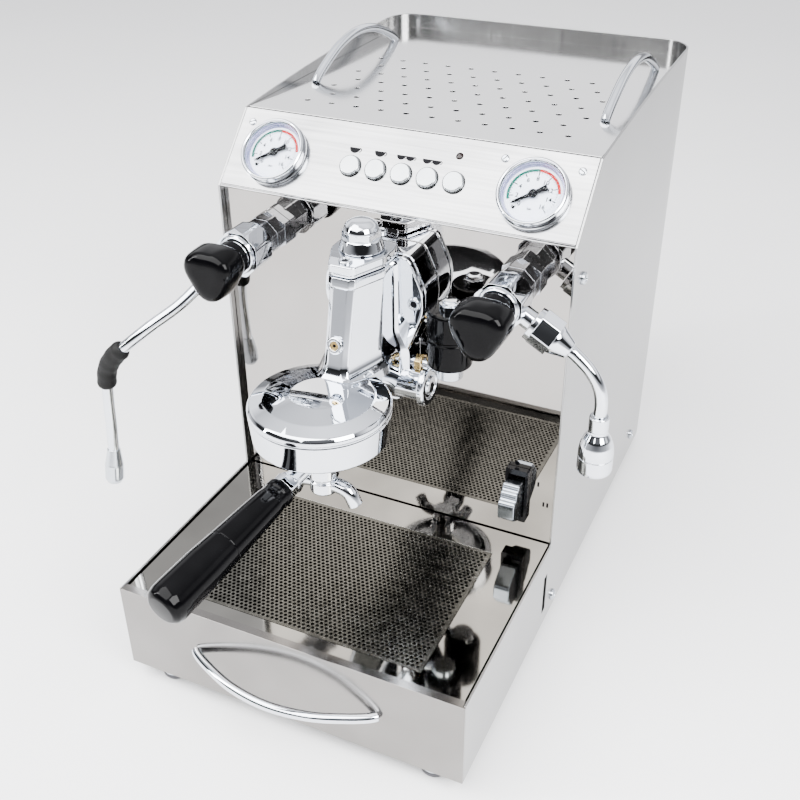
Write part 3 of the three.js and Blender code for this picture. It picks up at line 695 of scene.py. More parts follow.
def build_bows():
    low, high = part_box("tray_handle")
    place = frame_at((CENTRE_X, high.y, (low.z + high.z) / 2), FACING)
    piece("drawer_pull", bow(), place, CHROME, "tray_handle")
    for side in ("left", "right"):
        node = "cup_handle_" + side
        centre = middle(node)
        place = frame_at((centre.x, centre.y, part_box(node)[0].z), spin(pi / 2, "Z"))
        piece("cup_pull_" + side, bow(), place, CHROME, node)


# ---------- small fasteners ----------
SLOTTED_RADIUS = 2.6
SLOTTED_HEIGHT = 1.1
SLOTTED_SCREWS = ((-115, 48.3, 0.4), (115, 48.3, -0.5), (65.5, 49.2, 0.9))  # across, up, turn of the slot
SIDE_SCREWS = ((19.2, 282), (13.5, 26.3), (235.3, 31.2))  # back, up


def build_panel_screws():
    radius, height = SLOTTED_RADIUS, SLOTTED_HEIGHT
    profile = [(radius, -0.5), (radius, height * 0.5), (radius * 0.7, height)]
    head = round_body(profile, 0.3, 48)
    # Each slot is a black bar set into the head and standing just above it: painted shade in place of a cut
    # groove.
    slot = slab(rectangle(-radius * 0.82, -0.32, radius * 0.82, 0.32), height - 0.25, height + 0.03)
    heads, slot_shades = [], []
    for x, up, turn in SLOTTED_SCREWS:
        place = shift(x, up)
        heads.append(moved(head, place))
        slot_shades.append(moved(slot, place @ spin(turn, "Z")))
    piece("panel_screws", joined(*heads), PANEL, SATIN_CHROME, "control_panel", False)
    piece("panel_screw_slot_shades", joined(*slot_shades), PANEL, INK_AND_PAINTED_SHADE, "control_panel", False)


def build_side_screws():
    profile = [(4.2, 0), (4.0, 1.4), (3.2, 2.2), (1.9, 2.3), (1.7, 1.2)]
    head = round_body(profile, 0.3, 48)
    # A black hexagon at the bottom of each recess: painted shade in the socket.
    socket_shade = slab(ring(1.6, 6), 1.21, 1.26)
    heads, socket_shades = [], []
    for side, wall in zip((-1, 1), box_in(MACHINE, "body_wrap")):
        for y, z in SIDE_SCREWS:
            way = shift(wall.x, y, z) @ spin(side * pi / 2, "Y")
            heads.append(moved(head, way))
            socket_shades.append(moved(socket_shade, way))
    piece("side_screws", joined(*heads), MACHINE, SATIN_CHROME, "body_wrap", False)
    piece("side_screw_socket_shades", joined(*socket_shades), MACHINE, INK_AND_PAINTED_SHADE, "body_wrap", False)


# ---------- gauges, buttons and lamp ----------
def sector(inner, outer, start, end, low, high, steps=48):
    angles = [start + (end - start) * i / steps for i in range(steps + 1)]
    loop = [(outer * cos(a), outer * sin(a)) for a in angles]
    loop += [(inner * cos(a), inner * sin(a)) for a in reversed(angles)]
    return slab(loop, low, high)


SCALE_START = radians(225)
SCALE_SPAN = radians(270)
SCALE_STEPS = 8
SCALE_RADIUS = 14.9
BAND_RADIUS = 16.7
GREEN_BAND = (radians(90), radians(200))
RED_BAND = (radians(10), radians(90))
DIAL_RADIUS = 19.3
NUMERAL_SIZE, NUMERAL_RADIUS = 4.0, 10.2
UNIT_SIZE, UNIT_DROP = 2.3, 9.5
STOP_PIN = (0.9, 14.3)  # its radius, and how far out it stands


def gauge_marks(low):
    """Ticks, numerals and unit of a 270 degree scale, and the pin that the needle rests on."""
    parts = []
    for i in range(SCALE_STEPS * 5 + 1):
        angle = SCALE_START - SCALE_SPAN * i / (SCALE_STEPS * 5)
        inner, half = (13.9, 0.16) if i % 5 else (12.5, 0.34)
        tick = slab(rectangle(inner, -half, SCALE_RADIUS, half), low, low + 0.05)
        parts.append(moved(tick, spin(angle, "Z")))
    for i in range(SCALE_STEPS + 1):
        angle = SCALE_START - SCALE_SPAN * i / SCALE_STEPS
        x, y = NUMERAL_RADIUS * cos(angle), NUMERAL_RADIUS * sin(angle)
        parts.append(lettering(str(2 * i), NUMERAL_SIZE, x, y, low + 0.03))
    radius, out = STOP_PIN
    pin = turned([(0, low), (radius, low), (radius, low + 0.9), (0, low + 0.9)], 24)
    parts.append(moved(pin, shift(out * cos(SCALE_START), out * sin(SCALE_START))))
    parts.append(lettering("bar", UNIT_SIZE, 0, -UNIT_DROP, low + 0.03))
    return joined(*parts)


def build_gauges():
    bezel = round_body([
        (20, -20), (20, 0.3), (22.5, 0.3), (22.9, 4.0), (22.2, 7.4), (20.8, 8.4), (19.9, 7.4),
        (19.5, 6.4), (19.5, 1.0),
    ], 1.1, 128, 6)
    glass = round_body([(19.4, 5.0), (19.4, 5.9), (12, 6.5), (0, 6.8)], 0.3, 128)
    half = [(-9.3, 2.2), (-2, 1.4), (12.6, 0.9), (14.6, 0.0)]
    pointer = slab([(x, -y) for x, y in half] + half[-2::-1], 3.3, 3.7)
    hub = round_body([(2.9, 2.9), (2.9, 4.0), (1.2, 4.4)], 0.3, 48)
    cap = round_body([(1.3, 4.35), (1.2, 4.7), (0, 4.8)], 0.2, 32)
    gasket = round_body([(17.9, 1.2), (19.5, 1.2), (19.5, 4.9), (18.9, 4.9), (17.9, 1.2)], 0.2, 128)
    for side in ("left", "right"):
        case, face, needle = ("gauge_%s_%s" % (part, side) for part in ("case", "dial", "needle"))
        centre = within(PANEL, face)
        local = shifted(PANEL, centre.x, centre.y)
        way = local @ spin(NEEDLE_ANGLE, "Z")
        top = centre.z + 0.3
        low = top + PRINT_BASE
        dial = turned([(0, top - 0.5), (DIAL_RADIUS, top - 0.5), (DIAL_RADIUS, top), (0, top)], 128)
        piece("gauge_bezel_" + side, bezel, local, CHROME, case, sharp=40)
        piece("gauge_face_" + side, dial, local, DIAL_WHITE, face)
        piece("gauge_scale_" + side, gauge_marks(low), local, INK_AND_PAINTED_SHADE, face, False)
        for colour, look, band in (("green", GREEN_PRINT, GREEN_BAND), ("red", RED_PRINT, RED_BAND)):
            made = sector(SCALE_RADIUS, BAND_RADIUS, *band, low, low + PRINT_DEPTH)
            piece("gauge_%s_%s" % (colour, side), made, local, look, face, False)
        piece("gauge_pointer_" + side, joined(pointer, hub), way, INK_AND_PAINTED_SHADE, needle)
        piece("gauge_hub_" + side, cap, way, INK_AND_PAINTED_SHADE, needle, False)
        piece("gauge_gasket_" + side, gasket, local, GAUGE_RING, case, False)
        piece("gauge_window_" + side, glass, local, GLASS, "gauge_glass_" + side)


CUP_MARK_RISE = 11.2  # of the printed cups above the middles of the buttons


def cup_mark(x, y, radius):
    """A small printed cup with its handle."""
    bowl = sector(0, radius, pi, tau, PRINT_BASE, PRINT_DEPTH, 24)
    handle = sector(0.25 * radius, 0.42 * radius, -pi / 2, pi / 2, PRINT_BASE, PRINT_DEPTH, 12)
    return joined(
        moved(bowl, shift(x, y + radius / 2)),
        moved(handle, shift(x + 0.86 * radius, y + radius / 8)),
    )


def build_buttons():
    """Flat-topped caps, with one cup printed over the first two and two over the next two."""
    cap = round_body([
        (8.6, -3.4), (8.6, -1.9), (7, -1.9), (7, 2.1), (6.3, 2.9), (0, 3.4),
    ], 0.6, 96, 6)
    middles = [within(PANEL, "button_%d" % i) for i in range(1, 6)]
    for i, place in enumerate(middles, 1):
        local = shifted(PANEL, place.x, place.y)
        piece("push_cap_%d" % i, cap, local, BUTTON_STEEL, "button_%d" % i, sharp=50)
    up = middles[0].y + CUP_MARK_RISE
    marks = [cup_mark(place.x - 0.6, up, 3.9) for place in middles[:2]]
    for place in middles[2:4]:
        marks += [cup_mark(place.x - 3.6, up, 3.2), cup_mark(place.x + 2.8, up, 3.2)]
    piece("button_marks", joined(*marks), PANEL, INK_AND_PAINTED_SHADE, "control_panel", False)
    lamp = within(PANEL, "pilot_lamp")
    lens = round_body([(3, -3), (3, -1.9), (2, -1.9), (2, 0.4), (0, 1.0)], 0.4, 48)
    piece("lamp_lens", lens, shifted(PANEL, lamp.x, lamp.y), LENS, "pilot_lamp")


# ---------- rocker switch ----------
SWITCH_OPENING = rectangle(-6.3, -17.4, 6.3, 17.4)
SWITCH_RIM = rectangle(-8.2, -21.7, 8.2, 21.7)
SWITCH_NECK = rectangle(-6.9, -18.4, 6.9, 18.4)
ROCKER_HALF_WIDTH = 5.8
# Side view of the rocker as [out, up]: a stepped top, a blunt nose and a narrow back.
ROCKER_OUTLINE = [
    (-4, 0), (-2, 8), (4.5, 15.1), (10, 16.1), (15.6, 16.7), (16.4, 13), (19.6, 12), (20.2, 7.6),
    (23.8, 6.4), (24.4, 3), (24.3, -5.5), (22.3, -8.6), (10, -16.1), (4.5, -15.1), (-2, -8),
]
RING_MARK = (-1.4, 24.4)
STROKE_MARKS = ((14.5, 11.1), (19.2, -4.8), (22.0, -4.8))


def build_switch():
    centre = within(FRONT, "switch_rocker")
    local = shifted(FRONT, centre.x, within(FRONT, "switch_frame").y)
    rim = pierced(rounded_loop(SWITCH_RIM, 1.6, 6), [SWITCH_OPENING], 0.3, 4.3)
    neck = pierced(SWITCH_NECK, [SWITCH_OPENING], -15.7, 0.3)
    piece("switch_bezel", joined(rim, neck), local, BLACK_PLASTIC, "switch_frame", edge=0.6, segments=4)
    bar = slab(rounded_loop(ROCKER_OUTLINE, 1.7, 5), -ROCKER_HALF_WIDTH, ROCKER_HALF_WIDTH)
    on_edge = Matrix(((0, 0, 1, 0), (0, 1, 0, 0), (1, 0, 0, 0), (0, 0, 0, 1)))
    lever = moved(bar, on_edge)
    piece("switch_lever", lever, local, SWITCH_LACQUER, "switch_rocker", edge=0.7, segments=4)
    marks = [moved(sector(1.0, 1.8, 0, tau, 0.01, 0.05, 36), shift(*RING_MARK))]
    marks += [slab(rectangle(x - 0.7, y - 1.9, x + 0.7, y + 1.9), 0.01, 0.05) for x, y in STROKE_MARKS]
    piece("switch_marks", joined(*marks), local, INK_AND_PAINTED_SHADE, "front_panel", False)


# ---------- valves ----------
def many_sided(sides, radius, low, high, turn=0.0, soft=0.8):
    return slab(rounded_loop(ring(radius, sides, turn), soft, 3), low, high)


def outlet(made):
    """Along the side outlet, which leaves the valve sideways and slopes down."""
    turn = spin(-OUTLET_DROP, "Z") @ spin(pi / 2, "Y")
    return moved(made, shift(0, 0, OUTLET_REACH) @ turn)


def lobes(grow, sides=120):
    """Three soft lobes with one of them down."""
    angles = [tau * i / sides for i in range(sides)]
    reach = [17 + grow + 1.75 * cos(3 * (a + pi / 2)) for a in angles]
    return [(r * cos(a), r * sin(a)) for r, a in zip(reach, angles)]


def knob_cap():
    """Three-lobed grip on a round skirt."""
    levels = [
        (-7.5, 60.2), (-4.6, 61.2), (-2.0, 62.8), (-0.7, 64.6), (0, 67.0), (-0.1, 73.0), (-0.4, 79.0),
        (-0.9, 81.0), (-2.0, 82.8), (-3.8, 84.0), (-6.5, 84.7), (-10.0, 85.0),
    ]
    grip = skin([[(x, y, z) for x, y in lobes(grow)] for grow, z in levels])
    skirt = [(11.6, 51.3), (11.0, 56.0), (10.2, 60.0), (10.2, 62.5)]
    return joined(grip, round_body(skirt, 0.8, 96))


# Along each outlet: where the union nut starts, and the length of its flange, hexagon and cone.
UNION_NUTS = {"steam": (16.3, 2.0, 6.0, 0.0), "water": (21.3, 3.2, 13.0, 11.5)}


def union_nut(start, flange, hexagon, cone):
    hex_start = start + flange
    hex_end = hex_start + hexagon
    collar = [(11, start), (11, hex_start + 0.3)]
    parts = [round_body(collar, 0.5, 96), many_sided(6, 11.9, hex_start, hex_end, 0, 1.0)]
    if cone:
        end = hex_end + cone
        taper = [(9.6, hex_end - 1), (9.4, hex_end + 1.5), (5.5, end)]
        parts.append(round_body(taper, 1.0, 96))
    return outlet(joined(*parts))


def build_valves():
    barrel = joined(
        round_body([(8, -18), (8, 1)], 0.3, 64),
        many_sided(6, 14.5, 0.3, 7.0, pi / 6),
        many_sided(8, 13.3, 6.5, 16.6, pi / 8),
        many_sided(8, 12.9, 16.0, 17.6, pi / 8),
        many_sided(8, 13.3, 17.2, 27.0, pi / 8),
    )
    nose = [(0, 44), (13.8, 47.0), (12.4, 49.6), (10.2, 49.8), (10, 51.0)]
    for name, side in (("steam", -1), ("water", 1)):
        anchor = ANCHOR[name + "_knob_turn"]
        local = frame_at((anchor.x, MIRROR_Y, anchor.z), FACING, side)
        nut = UNION_NUTS[name]
        branch_end = nut[0] - 0.3
        hub = joined(
            round_body([(14.6, 26.3), (14.6, 29.0)], 0.5, 96),
            many_sided(8, 16.0, 28.5, 47.5, pi / 8, 1.6),
            round_body(nose, 0.7, 96),
            outlet(round_body([(6.5, 0), (6.5, branch_end)], 0.4, 64)),
        )
        body = name + "_valve_body"
        piece(name + "_valve_barrel", barrel, local, BARREL_STEEL, body, edge=0.4)
        piece(name + "_valve_hub", hub, local, CHROME, body, False, edge=0.6)
        piece(name + "_knob_grip", knob_cap(), local, BAKELITE, name + "_knob", sharp=40)
        piece(name + "_union_nut", union_nut(*nut), local, CHROME, name + "_wand_nut", edge=0.4)


# ---------- wands ----------
def outlet_point(side, node, reach):
    anchor = ANCHOR[node + "_knob_turn"]
    start = MACHINE.inverted() @ Vector((anchor.x, MIRROR_Y - OUTLET_REACH * MM, anchor.z))
    return start + Vector((side * reach * cos(OUTLET_DROP), 0, -reach * sin(OUTLET_DROP)))


def sleeve_radius(t):
    """Full in the middle, closing on the tube at both ends, with shallow waves."""
    return 5.2 + 1.5 * min(1.0, 12 * t, 12 * (1 - t)) ** 0.5 + 0.12 * sin(9 * pi * t)


GRIP_SPAN = slice(80, 116)  # the rubber grip's part of the steam tube's points


def build_steam_wand():
    route = smooth_path([
        outlet_point(-1, "steam", 24.6), outlet_point(-1, "steam", 28.3), (-117, -40, 257),
        (-127, -55, 244.5), (-141, -70, 233), (-155, -80, 220.5), (-166, -82, 210), (-174, -82, 197),
        (-177, -82, 178), (-177.6, -83.5, 153), (-178, -85, 133),
    ], 400)
    route = even_path(route, 160)
    piece("steam_tube", tube(route, PIPE_RADIUS), MACHINE, CHROME, "steam_pipe")
    piece("steam_sleeve", tube(route[GRIP_SPAN], sleeve_radius, 48), MACHINE, RUBBER, "steam_grip")
    tip_end = Vector((-179, -89, 105))
    tip = round_body([
        (4.6, 0.2), (5.0, 3), (6.4, 12), (6.6, 13), (6.6, 24), (5.2, 27), (3, 28),
    ], 0.5, 96)
    piece("steam_nozzle", tip, pointed(route[-1], tip_end), SATIN_CHROME, "steam_tip")


def build_water_wand():
    head = within(MACHINE, "water_head")
    route = smooth_path([
        outlet_point(1, "water", 49.3), outlet_point(1, "water", 53), (147, head.y, 249),
        (153.5, head.y, 239), (head.x, head.y, 229), (head.x, head.y, 219.3),
    ], 200)
    piece("water_tube", tube(even_path(route, 90), PIPE_RADIUS), MACHINE, CHROME, "water_pipe")
    nozzle = round_body([
        (8.6, 178), (10.4, 179.4), (11, 181), (11, 190.2), (10.7, 190.6), (11, 191.0),
        (10.9, 194.5), (10.2, 199), (8.6, 203.4), (6.1, 207.4), (5.9, 209.2), (6.1, 209.6), (6.1, 218.4),
        (5.6, 219),
    ], 0.8, 128, 5)
    piece("water_nozzle", nozzle, shifted(MACHINE, head.x, head.y), CHROME, "water_head", sharp=40)


# ---------- brew group ----------
TOWER_LEAN = 14.5 / 60
TOWER_FOOT_Z = 222.0
TOWER_TOP_Z = 293.0
TOWER_FRONT_Y = -62
TOWER_WAIST_Y = -39
COVER_TOP_Z = 301.0
COVER_SCREWS = (-55.6, -7.5)
FLANGE_SCREWS = (28.6, 262)  # out to each side, up
FLANGE_FRONT = 20.0


def both_halves(right, wide=1.0, tall=1.0):
    """A front view from its right half, drawn in towards the shank by a factor each way."""
    loop = right + [(-x, z) for x, z in reversed(right)]
    return [(x * wide, SHANK_HEIGHT + (z - SHANK_HEIGHT) * tall) for x, z in loop]


FLANGE_HALF = [(19, 187), (22, 205), (21.5, 222), (30, 243), (35, 256), (34.5, 270), (24.5, 292.5)]
FLANGE_OUTLINE = rounded_loop(both_halves(FLANGE_HALF), 5.0, 6)
ARM_HALF = [(17, 190), (20.5, 205), (20.5, 227), (15, 240), (15, 290)]
ARM_STEPS = 24


def tower_ring(z, grow):
    """Plan of the tower at a height: a chamfered facet in front, widest at its waist."""
    fall = TOWER_TOP_Z - z
    front = TOWER_FRONT_Y - fall * TOWER_LEAN - grow
    waist = TOWER_WAIST_Y - 7 * fall / (TOWER_TOP_Z - TOWER_FOOT_Z)
    half = [
        (4.6 + grow, front), (8.2 + grow, front + 2.4), (17.5 + grow, waist), (16.2 + grow, waist + 2.2),
        (13 + grow, waist + 9 + grow),
    ]
    loop = half + [(-x, y) for x, y in reversed(half)]
    return [(x, y, z) for x, y in rounded_loop(loop, 0.9, 4)]


def cover_plan(inset):
    half = [(8.2, -62.8 + inset), (18.4, -39), (18.4, -23), (9, 0.5 - inset)]
    half = [(x - inset, y) for x, y in half]
    return rounded_loop(half + [(-x, y) for x, y in reversed(half)], 3.0, 6)


def socket_screws(places, z):
    """Cap screws as one solid, and as another black hexagons at the bottoms of their hexagon sockets, painted
    shade.
    """
    head = round_body([
        (4.4, z - 0.4), (4.4, z + 1.0), (3.8, z + 1.6), (2.8, z + 1.6), (2.6, z + 0.8),
    ], 0.3, 64)
    socket_shade = slab(ring(2.45, 6), z + 0.82, z + 0.9)
    ways = [shift(x, y) for x, y in places]
    return joined(*[moved(head, way) for way in ways]), joined(*[moved(socket_shade, way) for way in ways])


def build_group():
    bell = [
        (36.5, 224.5), (36.5, 202.6), (37.0, BELL_FOOT), (41.4, BELL_FOOT), (42.4, 202.8),
        (44, 220), (43.4, 221.2), (44.2, 222.4), (44.2, 224.5), (42.6, 227.0), (34, 230.0), (18, 231.6),
        (0, 232),
    ]
    piece("group_bell", round_body(bell, 0.9, 160, 5), BELL, CHROME, "group_casting", sharp=50)
    flare = [(6.0, 224.5), (5.0, 229.4), (2.6, 231.4), (1.0, 233.8), (0.2, 236.9), (0, 240)]
    shaft = [(0, 240 + i * (286.5 - 240) / 6) for i in range(1, 7)]
    crown = [(0.7, 287.2), (1.0, 288.0), (1.0, 292.4), (0.7, 292.9)]
    tower = skin([tower_ring(z, grow) for grow, z in flare + shaft + crown])
    piece("group_tower", tower, MACHINE, CHROME, "group_casting", False, sharp=35)
    build_arm()
    lid = joined(slab(cover_plan(0.9), 293.3, 295.6), slab(cover_plan(0), 295.6, COVER_TOP_Z))
    piece("group_lid", lid, MACHINE, CHROME, "group_cover", edge=0.8, segments=4)
    heads, socket_shades = socket_screws([(0, y) for y in COVER_SCREWS], COVER_TOP_Z)
    # A small black disc on the lid: painted shade of a pit.
    pit_shade = slab(ring_at(7.2, -47.5, 1.2, 24), COVER_TOP_Z + 0.01, COVER_TOP_Z + 0.06)
    piece("group_lid_screws", heads, MACHINE, SATIN_CHROME, "group_cover", False)
    piece("group_lid_socket_shades", joined(socket_shades, pit_shade), MACHINE, INK_AND_PAINTED_SHADE, "group_cover", False)
    build_cap_nut()
    build_plug()


def build_cap_nut():
    centre = within(MACHINE, "group_dome_nut")
    collar = [(14.4, 301.3), (13.8, 303.4), (12.4, 308.2), (11.8, 309)]
    dome = [(11.2, 312), (11.2, 314), (9.8, 317.2), (6.4, 319.4), (0, 320)]
    nut = joined(
        round_body(collar, 1.0, 128, 6),
        many_sided(6, 12.3, 308.8, 313.2, 0.35, 0.9),
        round_body(dome, 1.4, 128, 6),
    )
    local = shifted(MACHINE, centre.x, centre.y)
    piece("group_cap_nut", nut, local, CHROME, "group_dome_nut", edge=0.3, sharp=50)


def build_arm():
    """Flange on the mount, and the web between it and the tower, filleted at the flange."""
    flange = slab(FLANGE_OUTLINE, 15.3, FLANGE_FRONT)
    rings = []
    for i in range(ARM_STEPS + 1):
        t = i / ARM_STEPS
        fillet = 0.22 * max(0.0, 1 - 6 * t) ** 2
        half = both_halves(ARM_HALF, 1 - 0.2 * t + fillet, 1 - 0.22 * t + fillet / 9)
        loop = rounded_loop(half, 4.5, 6)
        rings.append([(x, -19.4 - 30.6 * t, z) for x, z in loop])
    node = "group_casting"
    piece("group_flange", moved(flange, FACING), MACHINE, CHROME, node, False, edge=1.0, segments=4)
    piece("group_arm", skin(rings), MACHINE, CHROME, node, False, sharp=40)
    out, up = FLANGE_SCREWS
    heads, socket_shades = socket_screws([(out, up), (-out, up)], FLANGE_FRONT)
    piece("flange_screws", moved(heads, FACING), MACHINE, SATIN_CHROME, node, False)
    # Black hexagons in the screw sockets: painted shade.
    piece("flange_screw_socket_shades", moved(socket_shades, FACING), MACHINE, INK_AND_PAINTED_SHADE, node, False)


def build_plug():
    z = within(MACHINE, "group_plug").z
    y = TOWER_FRONT_Y - (TOWER_TOP_Z - z) * TOWER_LEAN
    local = shifted(MACHINE, 0, y, z) @ spin(pi / 2 - TOWER_LEAN, "X")
    collar = round_body([
        (4.1, -6), (4.1, 0.2), (5.6, 0.2), (5.4, 2.4), (4.6, 2.9), (3.0, 2.9), (2.8, 1.6),
    ], 0.4, 64)
    piece("group_plug_collar", collar, local, CHROME, "group_plug", sharp=45)
    screw = turned([(0, 1.5), (2.6, 1.5), (2.6, 2.0), (0, 2.0)], 48)
    screw = joined(screw, slab(ring(1.2, 6), 2.01, 2.05))
    piece("group_plug_screw", screw, local, BRASS, "group_plug", False)
    # A black hexagon on the screw: painted shade in its socket.
    socket_shade = slab(ring(1.15, 6), 2.06, 2.1)
    piece("group_plug_socket_shade", socket_shade, local, INK_AND_PAINTED_SHADE, "group_plug", False)


DRAIN_Y = -15
DRAIN_PORT_Z = 202
DRAIN_ARM_Z = 217.7


def build_mount():
    """Block behind the flange with its shank, and the port and arm of the drain on its side."""
    node = "group_mount"
    flange = moved(slab(FLANGE_OUTLINE, -4.7, 14.8), FACING)
    piece("mount_flange", flange, MACHINE, CHROME, node, edge=1.0, segments=4)
    shank = moved(slab(ring_at(0, SHANK_HEIGHT, SHANK_RADIUS, 64), -49.7, -4.8), FACING)
    piece("mount_shank", shank, MACHINE, SATIN_CHROME, node, False)
    sideways = spin(pi / 2, "Y")
    port = round_body([
        (12, 12), (12, 33.6), (15, 34.4), (15, 37.6), (13.6, 38.8), (9.6, 38.8), (9.2, 37.8),
        (6.4, 37.8), (6.0, 39.2), (3.2, 39.4),
    ], 0.7, 128, 5)
    along = shifted(MACHINE, 0, DRAIN_Y, DRAIN_PORT_Z) @ sideways
    piece("drain_port", port, along, CHROME, node, False, sharp=45)
    drain = shifted(MACHINE, 0, DRAIN_Y, DRAIN_ARM_Z) @ sideways
    arm = round_body([(4, 14), (4, 50)], 0.4, 48)
    piece("drain_arm", arm, drain, CHROME, node, False)
    piece("drain_fitting", many_sided(6, 6.2, 28.5, 33.5), drain, BRASS, node, False, edge=0.5)
    coil = within(MACHINE, "solenoid_coil")
    local = shifted(MACHINE, coil.x, coil.y)
    seat = round_body([(9, 212.5), (9, 222.2)], 0.8, 64)
    piece("solenoid_seat", seat, local, SATIN_CHROME, node, False)
    winding = round_body([
        (14.6, 222.5), (15, 224), (15, 240.6), (14.4, 241.4), (14.4, 242.6), (15, 243.4),
        (15, 260), (14.2, 261.5),
    ], 0.7, 96, 5)
    piece("solenoid_winding", winding, local, BAKELITE, "solenoid_coil", sharp=45)
    cap = joined(
        many_sided(6, 7.4, 261.8, 265.2, 0.3),
        round_body([(5.4, 265), (5.2, 267.2), (3.6, 268)], 0.5, 64),
    )
    piece("solenoid_cap", cap, local, CHROME, "solenoid_nut", edge=0.4)


SCREEN_ORBITS = ((6, 8), (11, 14), (16, 20), (21, 26))  # radius, number of holes


def build_inner_group():
    seal = [(29.5, 220.7), (36.2, 220.7), (36.2, 224.2), (29.5, 224.2), (29.5, 220.7)]
    piece("seal_ring", round_body(seal, 0.5, 128), BELL, RUBBER, "group_seal")
    holes = [ring_at(*spot, 0.8, 10) for orbit, count in SCREEN_ORBITS for spot in ring(orbit, count)]
    screen = joined(
        pierced(ring(26, 96), holes, 220.9, 221.5),
        round_body([(26, 220.8), (28.5, 220.8), (28.5, 224.2), (26, 224.2), (26, 220.8)], 0.5, 96),
        round_body([(0, 219.6), (3.2, 219.8), (3.4, 221)], 0.3, 48),
    )
    piece("screen_disc", screen, BELL, SATIN_CHROME, "shower_screen")


# ---------- portafilter ----------
HANDLE_START = Vector((-7, -133, 183))
HANDLE_END = Vector((-24, -233, 167))


def build_portafilter():
    cup = round_body([
        (10, 171), (10.4, 180), (15, 184), (27, 192), (34, 200), (34, 219.2), (30.5, 219.2),
        (30.5, 207), (21.5, 197.5),
    ], 1.4, 128, 5)
    piece("filter_holder", cup, BELL, CHROME, "portafilter_body", sharp=45)
    local = pointed(HANDLE_START, HANDLE_END)
    neck = joined(
        round_body([(6, -27), (5.6, -12), (6, -8), (6, -6)], 1.2, 64, 5),
        many_sided(6, 8.4, -6.4, -0.4, 0.2, 1.0),
        round_body([(7.4, -8), (7.4, -6.2)], 0.5, 64),
    )
    piece("handle_neck", neck, local, CHROME, "portafilter_body", False, edge=0.3)
    grip = round_body([
        (8.2, 0), (9.4, 1.6), (9.4, 5.0), (8.9, 6.0), (8.9, 9.0), (9.6, 13), (10.6, 32),
        (11.55, 52.4), (11.35, 52.9), (11.6, 53.4), (12.6, 70), (13, 94), (12.9, 99), (11.8, 103.4),
        (9.4, 105.4), (0, 106),
    ], 1.1, 128, 6)
    piece("handle_grip", grip, local, BAKELITE, "portafilter_handle", sharp=50)
    basket = round_body([
        (20, 198.5), (29.5, 208), (29.5, 219.5), (33.8, 219.5), (33.8, 220.3),
        (28.7, 220.3), (28.7, 208.4), (19.7, 199.3),
    ], 0.4, 128)
    piece("coffee_basket", basket, BELL, SATIN_STEEL, "filter_basket", sharp=45)
    build_spout()


SPOUT_SIDES = 40
SPOUT_BORE = 3.7
SPOUT_BORE_START = 34  # the point of the route from which the open mouth is hollow


def spout_radius(t):
    return 5.0 - 0.2 * t


def build_spout():
    """Two curved tubes on a hub. At each mouth the skin turns back inside as a thinner tube."""
    hub = [(8.6, 160), (9, 161), (9, 168), (7.6, 169), (7.6, 170.7)]
    parts = [round_body(hub, 0.7, 96)]
    for side in (-1, 1):
        points = [(3, 164.6), (10, 165.2), (17.6, 162.4), (22, 154)]
        route = smooth_path([(side * x, 0, z) for x, z in points], 48)
        outer, outer_faces = tube(route, spout_radius, SPOUT_SIDES)
        inner, inner_faces = tube(route[SPOUT_BORE_START:], SPOUT_BORE, SPOUT_SIDES)
        turns = [(i, (i + 1) % SPOUT_SIDES) for i in range(SPOUT_SIDES)]
        lip = [(i, j, SPOUT_SIDES + j, SPOUT_SIDES + i) for i, j in turns]
        parts += [
            (outer, outer_faces[:-1]),
            (inner, inner_faces[:-1]),
            (outer[-SPOUT_SIDES:] + inner[-SPOUT_SIDES:], lip),
        ]
    piece("twin_spout", joined(*parts), BELL, CHROME, "spout", sharp=45)


# ---------- studio ----------
FLOOR_HALF = 9.0
SKY_STRENGTH = 2.7
# The sky's grey from the horizon up to the zenith, as stops of a height and a brightness.
FRONT_SKY = ((0.0, 0.3), (0.06, 0.2), (0.12, 0.01), (0.38, 0.02), (0.6, 0.14), (0.68, 0.4), (1.0, 0.55))
REAR_SKY = ((0.0, 0.3), (0.06, 0.15), (0.16, 0.15), (0.26, 0.9), (0.48, 0.9), (0.6, 0.45), (1.0, 1.0))
# Each soft lamp: its place, what it faces, its width and height, and its power.
SOFT_LAMPS = {
    "key_softbox": ((-0.45, -0.8, 1.5), (0, -0.1, 0.2), (1.9, 1.5), 112),
    "right_softbox": ((1.05, -0.6, 1.0), (0.35, -0.25, 0.0), (0.7, 0.9), 60),
    "left_strip": ((-1.3, -0.9, 0.9), (0, -0.1, 0.2), (0.1, 1.3), 22),
}


def build_floor():
    mesh = bpy.data.meshes.new("studio_floor")
    outline = rectangle(-FLOOR_HALF, -FLOOR_HALF, FLOOR_HALF, FLOOR_HALF)
    mesh.from_pydata([(x, y, 0) for x, y in outline], [], [(0, 1, 2, 3)])
    paper = finish("studio_paper", (0.80, 0.80, 0.81), (0.82, 0.82, 0.825), (0.6, 0.7), 0.0, 3.0)
    mesh.materials.append(paper)
    put("studio_floor", mesh)


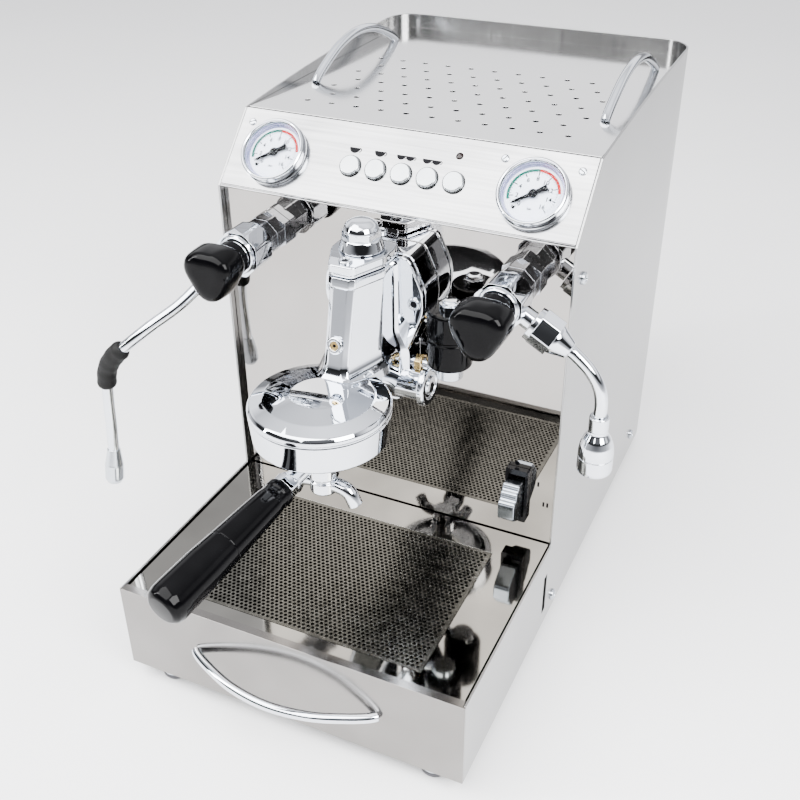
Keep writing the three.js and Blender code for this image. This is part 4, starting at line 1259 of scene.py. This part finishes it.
def build_sky():
    """A graded sky that changes from the front to the rear."""
    world = bpy.data.worlds.new("studio_sky")
    bpy.context.scene.world = world
    world.use_nodes = True
    nodes, links = world.node_tree.nodes, world.node_tree.links
    where = nodes.new("ShaderNodeTexCoord")
    split = nodes.new("ShaderNodeSeparateXYZ")
    side = add(nodes, "MapRange", From_Min=-0.15, From_Max=0.25)
    blend = nodes.new("ShaderNodeMix")
    blend.data_type = "RGBA"
    links.new(where.outputs["Generated"], split.inputs["Vector"])
    links.new(split.outputs["Y"], side.inputs["Value"])
    links.new(side.outputs["Result"], blend.inputs["Factor"])
    for stops, end in ((FRONT_SKY, "A"), (REAR_SKY, "B")):
        ramp = add_ramp(nodes, [(height, (grey, grey, grey * 1.03)) for height, grey in stops])
        links.new(split.outputs["Z"], ramp.inputs["Fac"])
        links.new(ramp.outputs["Color"], blend.inputs[end])
    links.new(blend.outputs["Result"], nodes["Background"].inputs["Color"])
    nodes["Background"].inputs["Strength"].default_value = SKY_STRENGTH


def build_lamps():
    for name, (place, target, size, power) in SOFT_LAMPS.items():
        light = bpy.data.lights.new(name, "AREA")
        light.shape = "RECTANGLE"
        light.size, light.size_y = size
        light.energy = power
        lamp = put(name, light)
        lamp.location = place
        lamp.rotation_mode = "QUATERNION"
        lamp.rotation_quaternion = (Vector(target) - Vector(place)).to_track_quat("-Z", "Y")


def build_camera():
    data = bpy.data.cameras.new("camera")
    data.sensor_width = 36.0
    data.lens = CAMERA_LENS
    data.shift_x, data.shift_y = CAMERA_SHIFT
    data.clip_start, data.clip_end = 0.02, 40.0
    camera = put("camera", data)
    back = Vector((
        sin(CAMERA_AZIMUTH) * cos(CAMERA_ELEVATION),
        -cos(CAMERA_AZIMUTH) * cos(CAMERA_ELEVATION),
        sin(CAMERA_ELEVATION),
    ))
    right = Vector((cos(CAMERA_AZIMUTH), sin(CAMERA_AZIMUTH), 0))
    up = back.cross(right)
    across = right * cos(CAMERA_ROLL) + up * sin(CAMERA_ROLL)
    upright = up * cos(CAMERA_ROLL) - right * sin(CAMERA_ROLL)
    turn = Matrix((across, upright, back)).transposed().to_4x4()
    camera.matrix_world = Matrix.Translation(MACHINE @ Vector(CAMERA_PLACE)) @ turn
    bpy.context.scene.camera = camera


build_case()
build_cup_plate()
build_mirror()
build_control_panel()
build_deck()
build_grille()
build_feet()
build_bows()
build_panel_screws()
build_side_screws()
build_gauges()
build_buttons()
build_switch()
build_valves()
build_steam_wand()
build_water_wand()
build_group()
build_mount()
build_inner_group()
build_portafilter()
build_floor()
build_sky()
build_lamps()
build_camera()
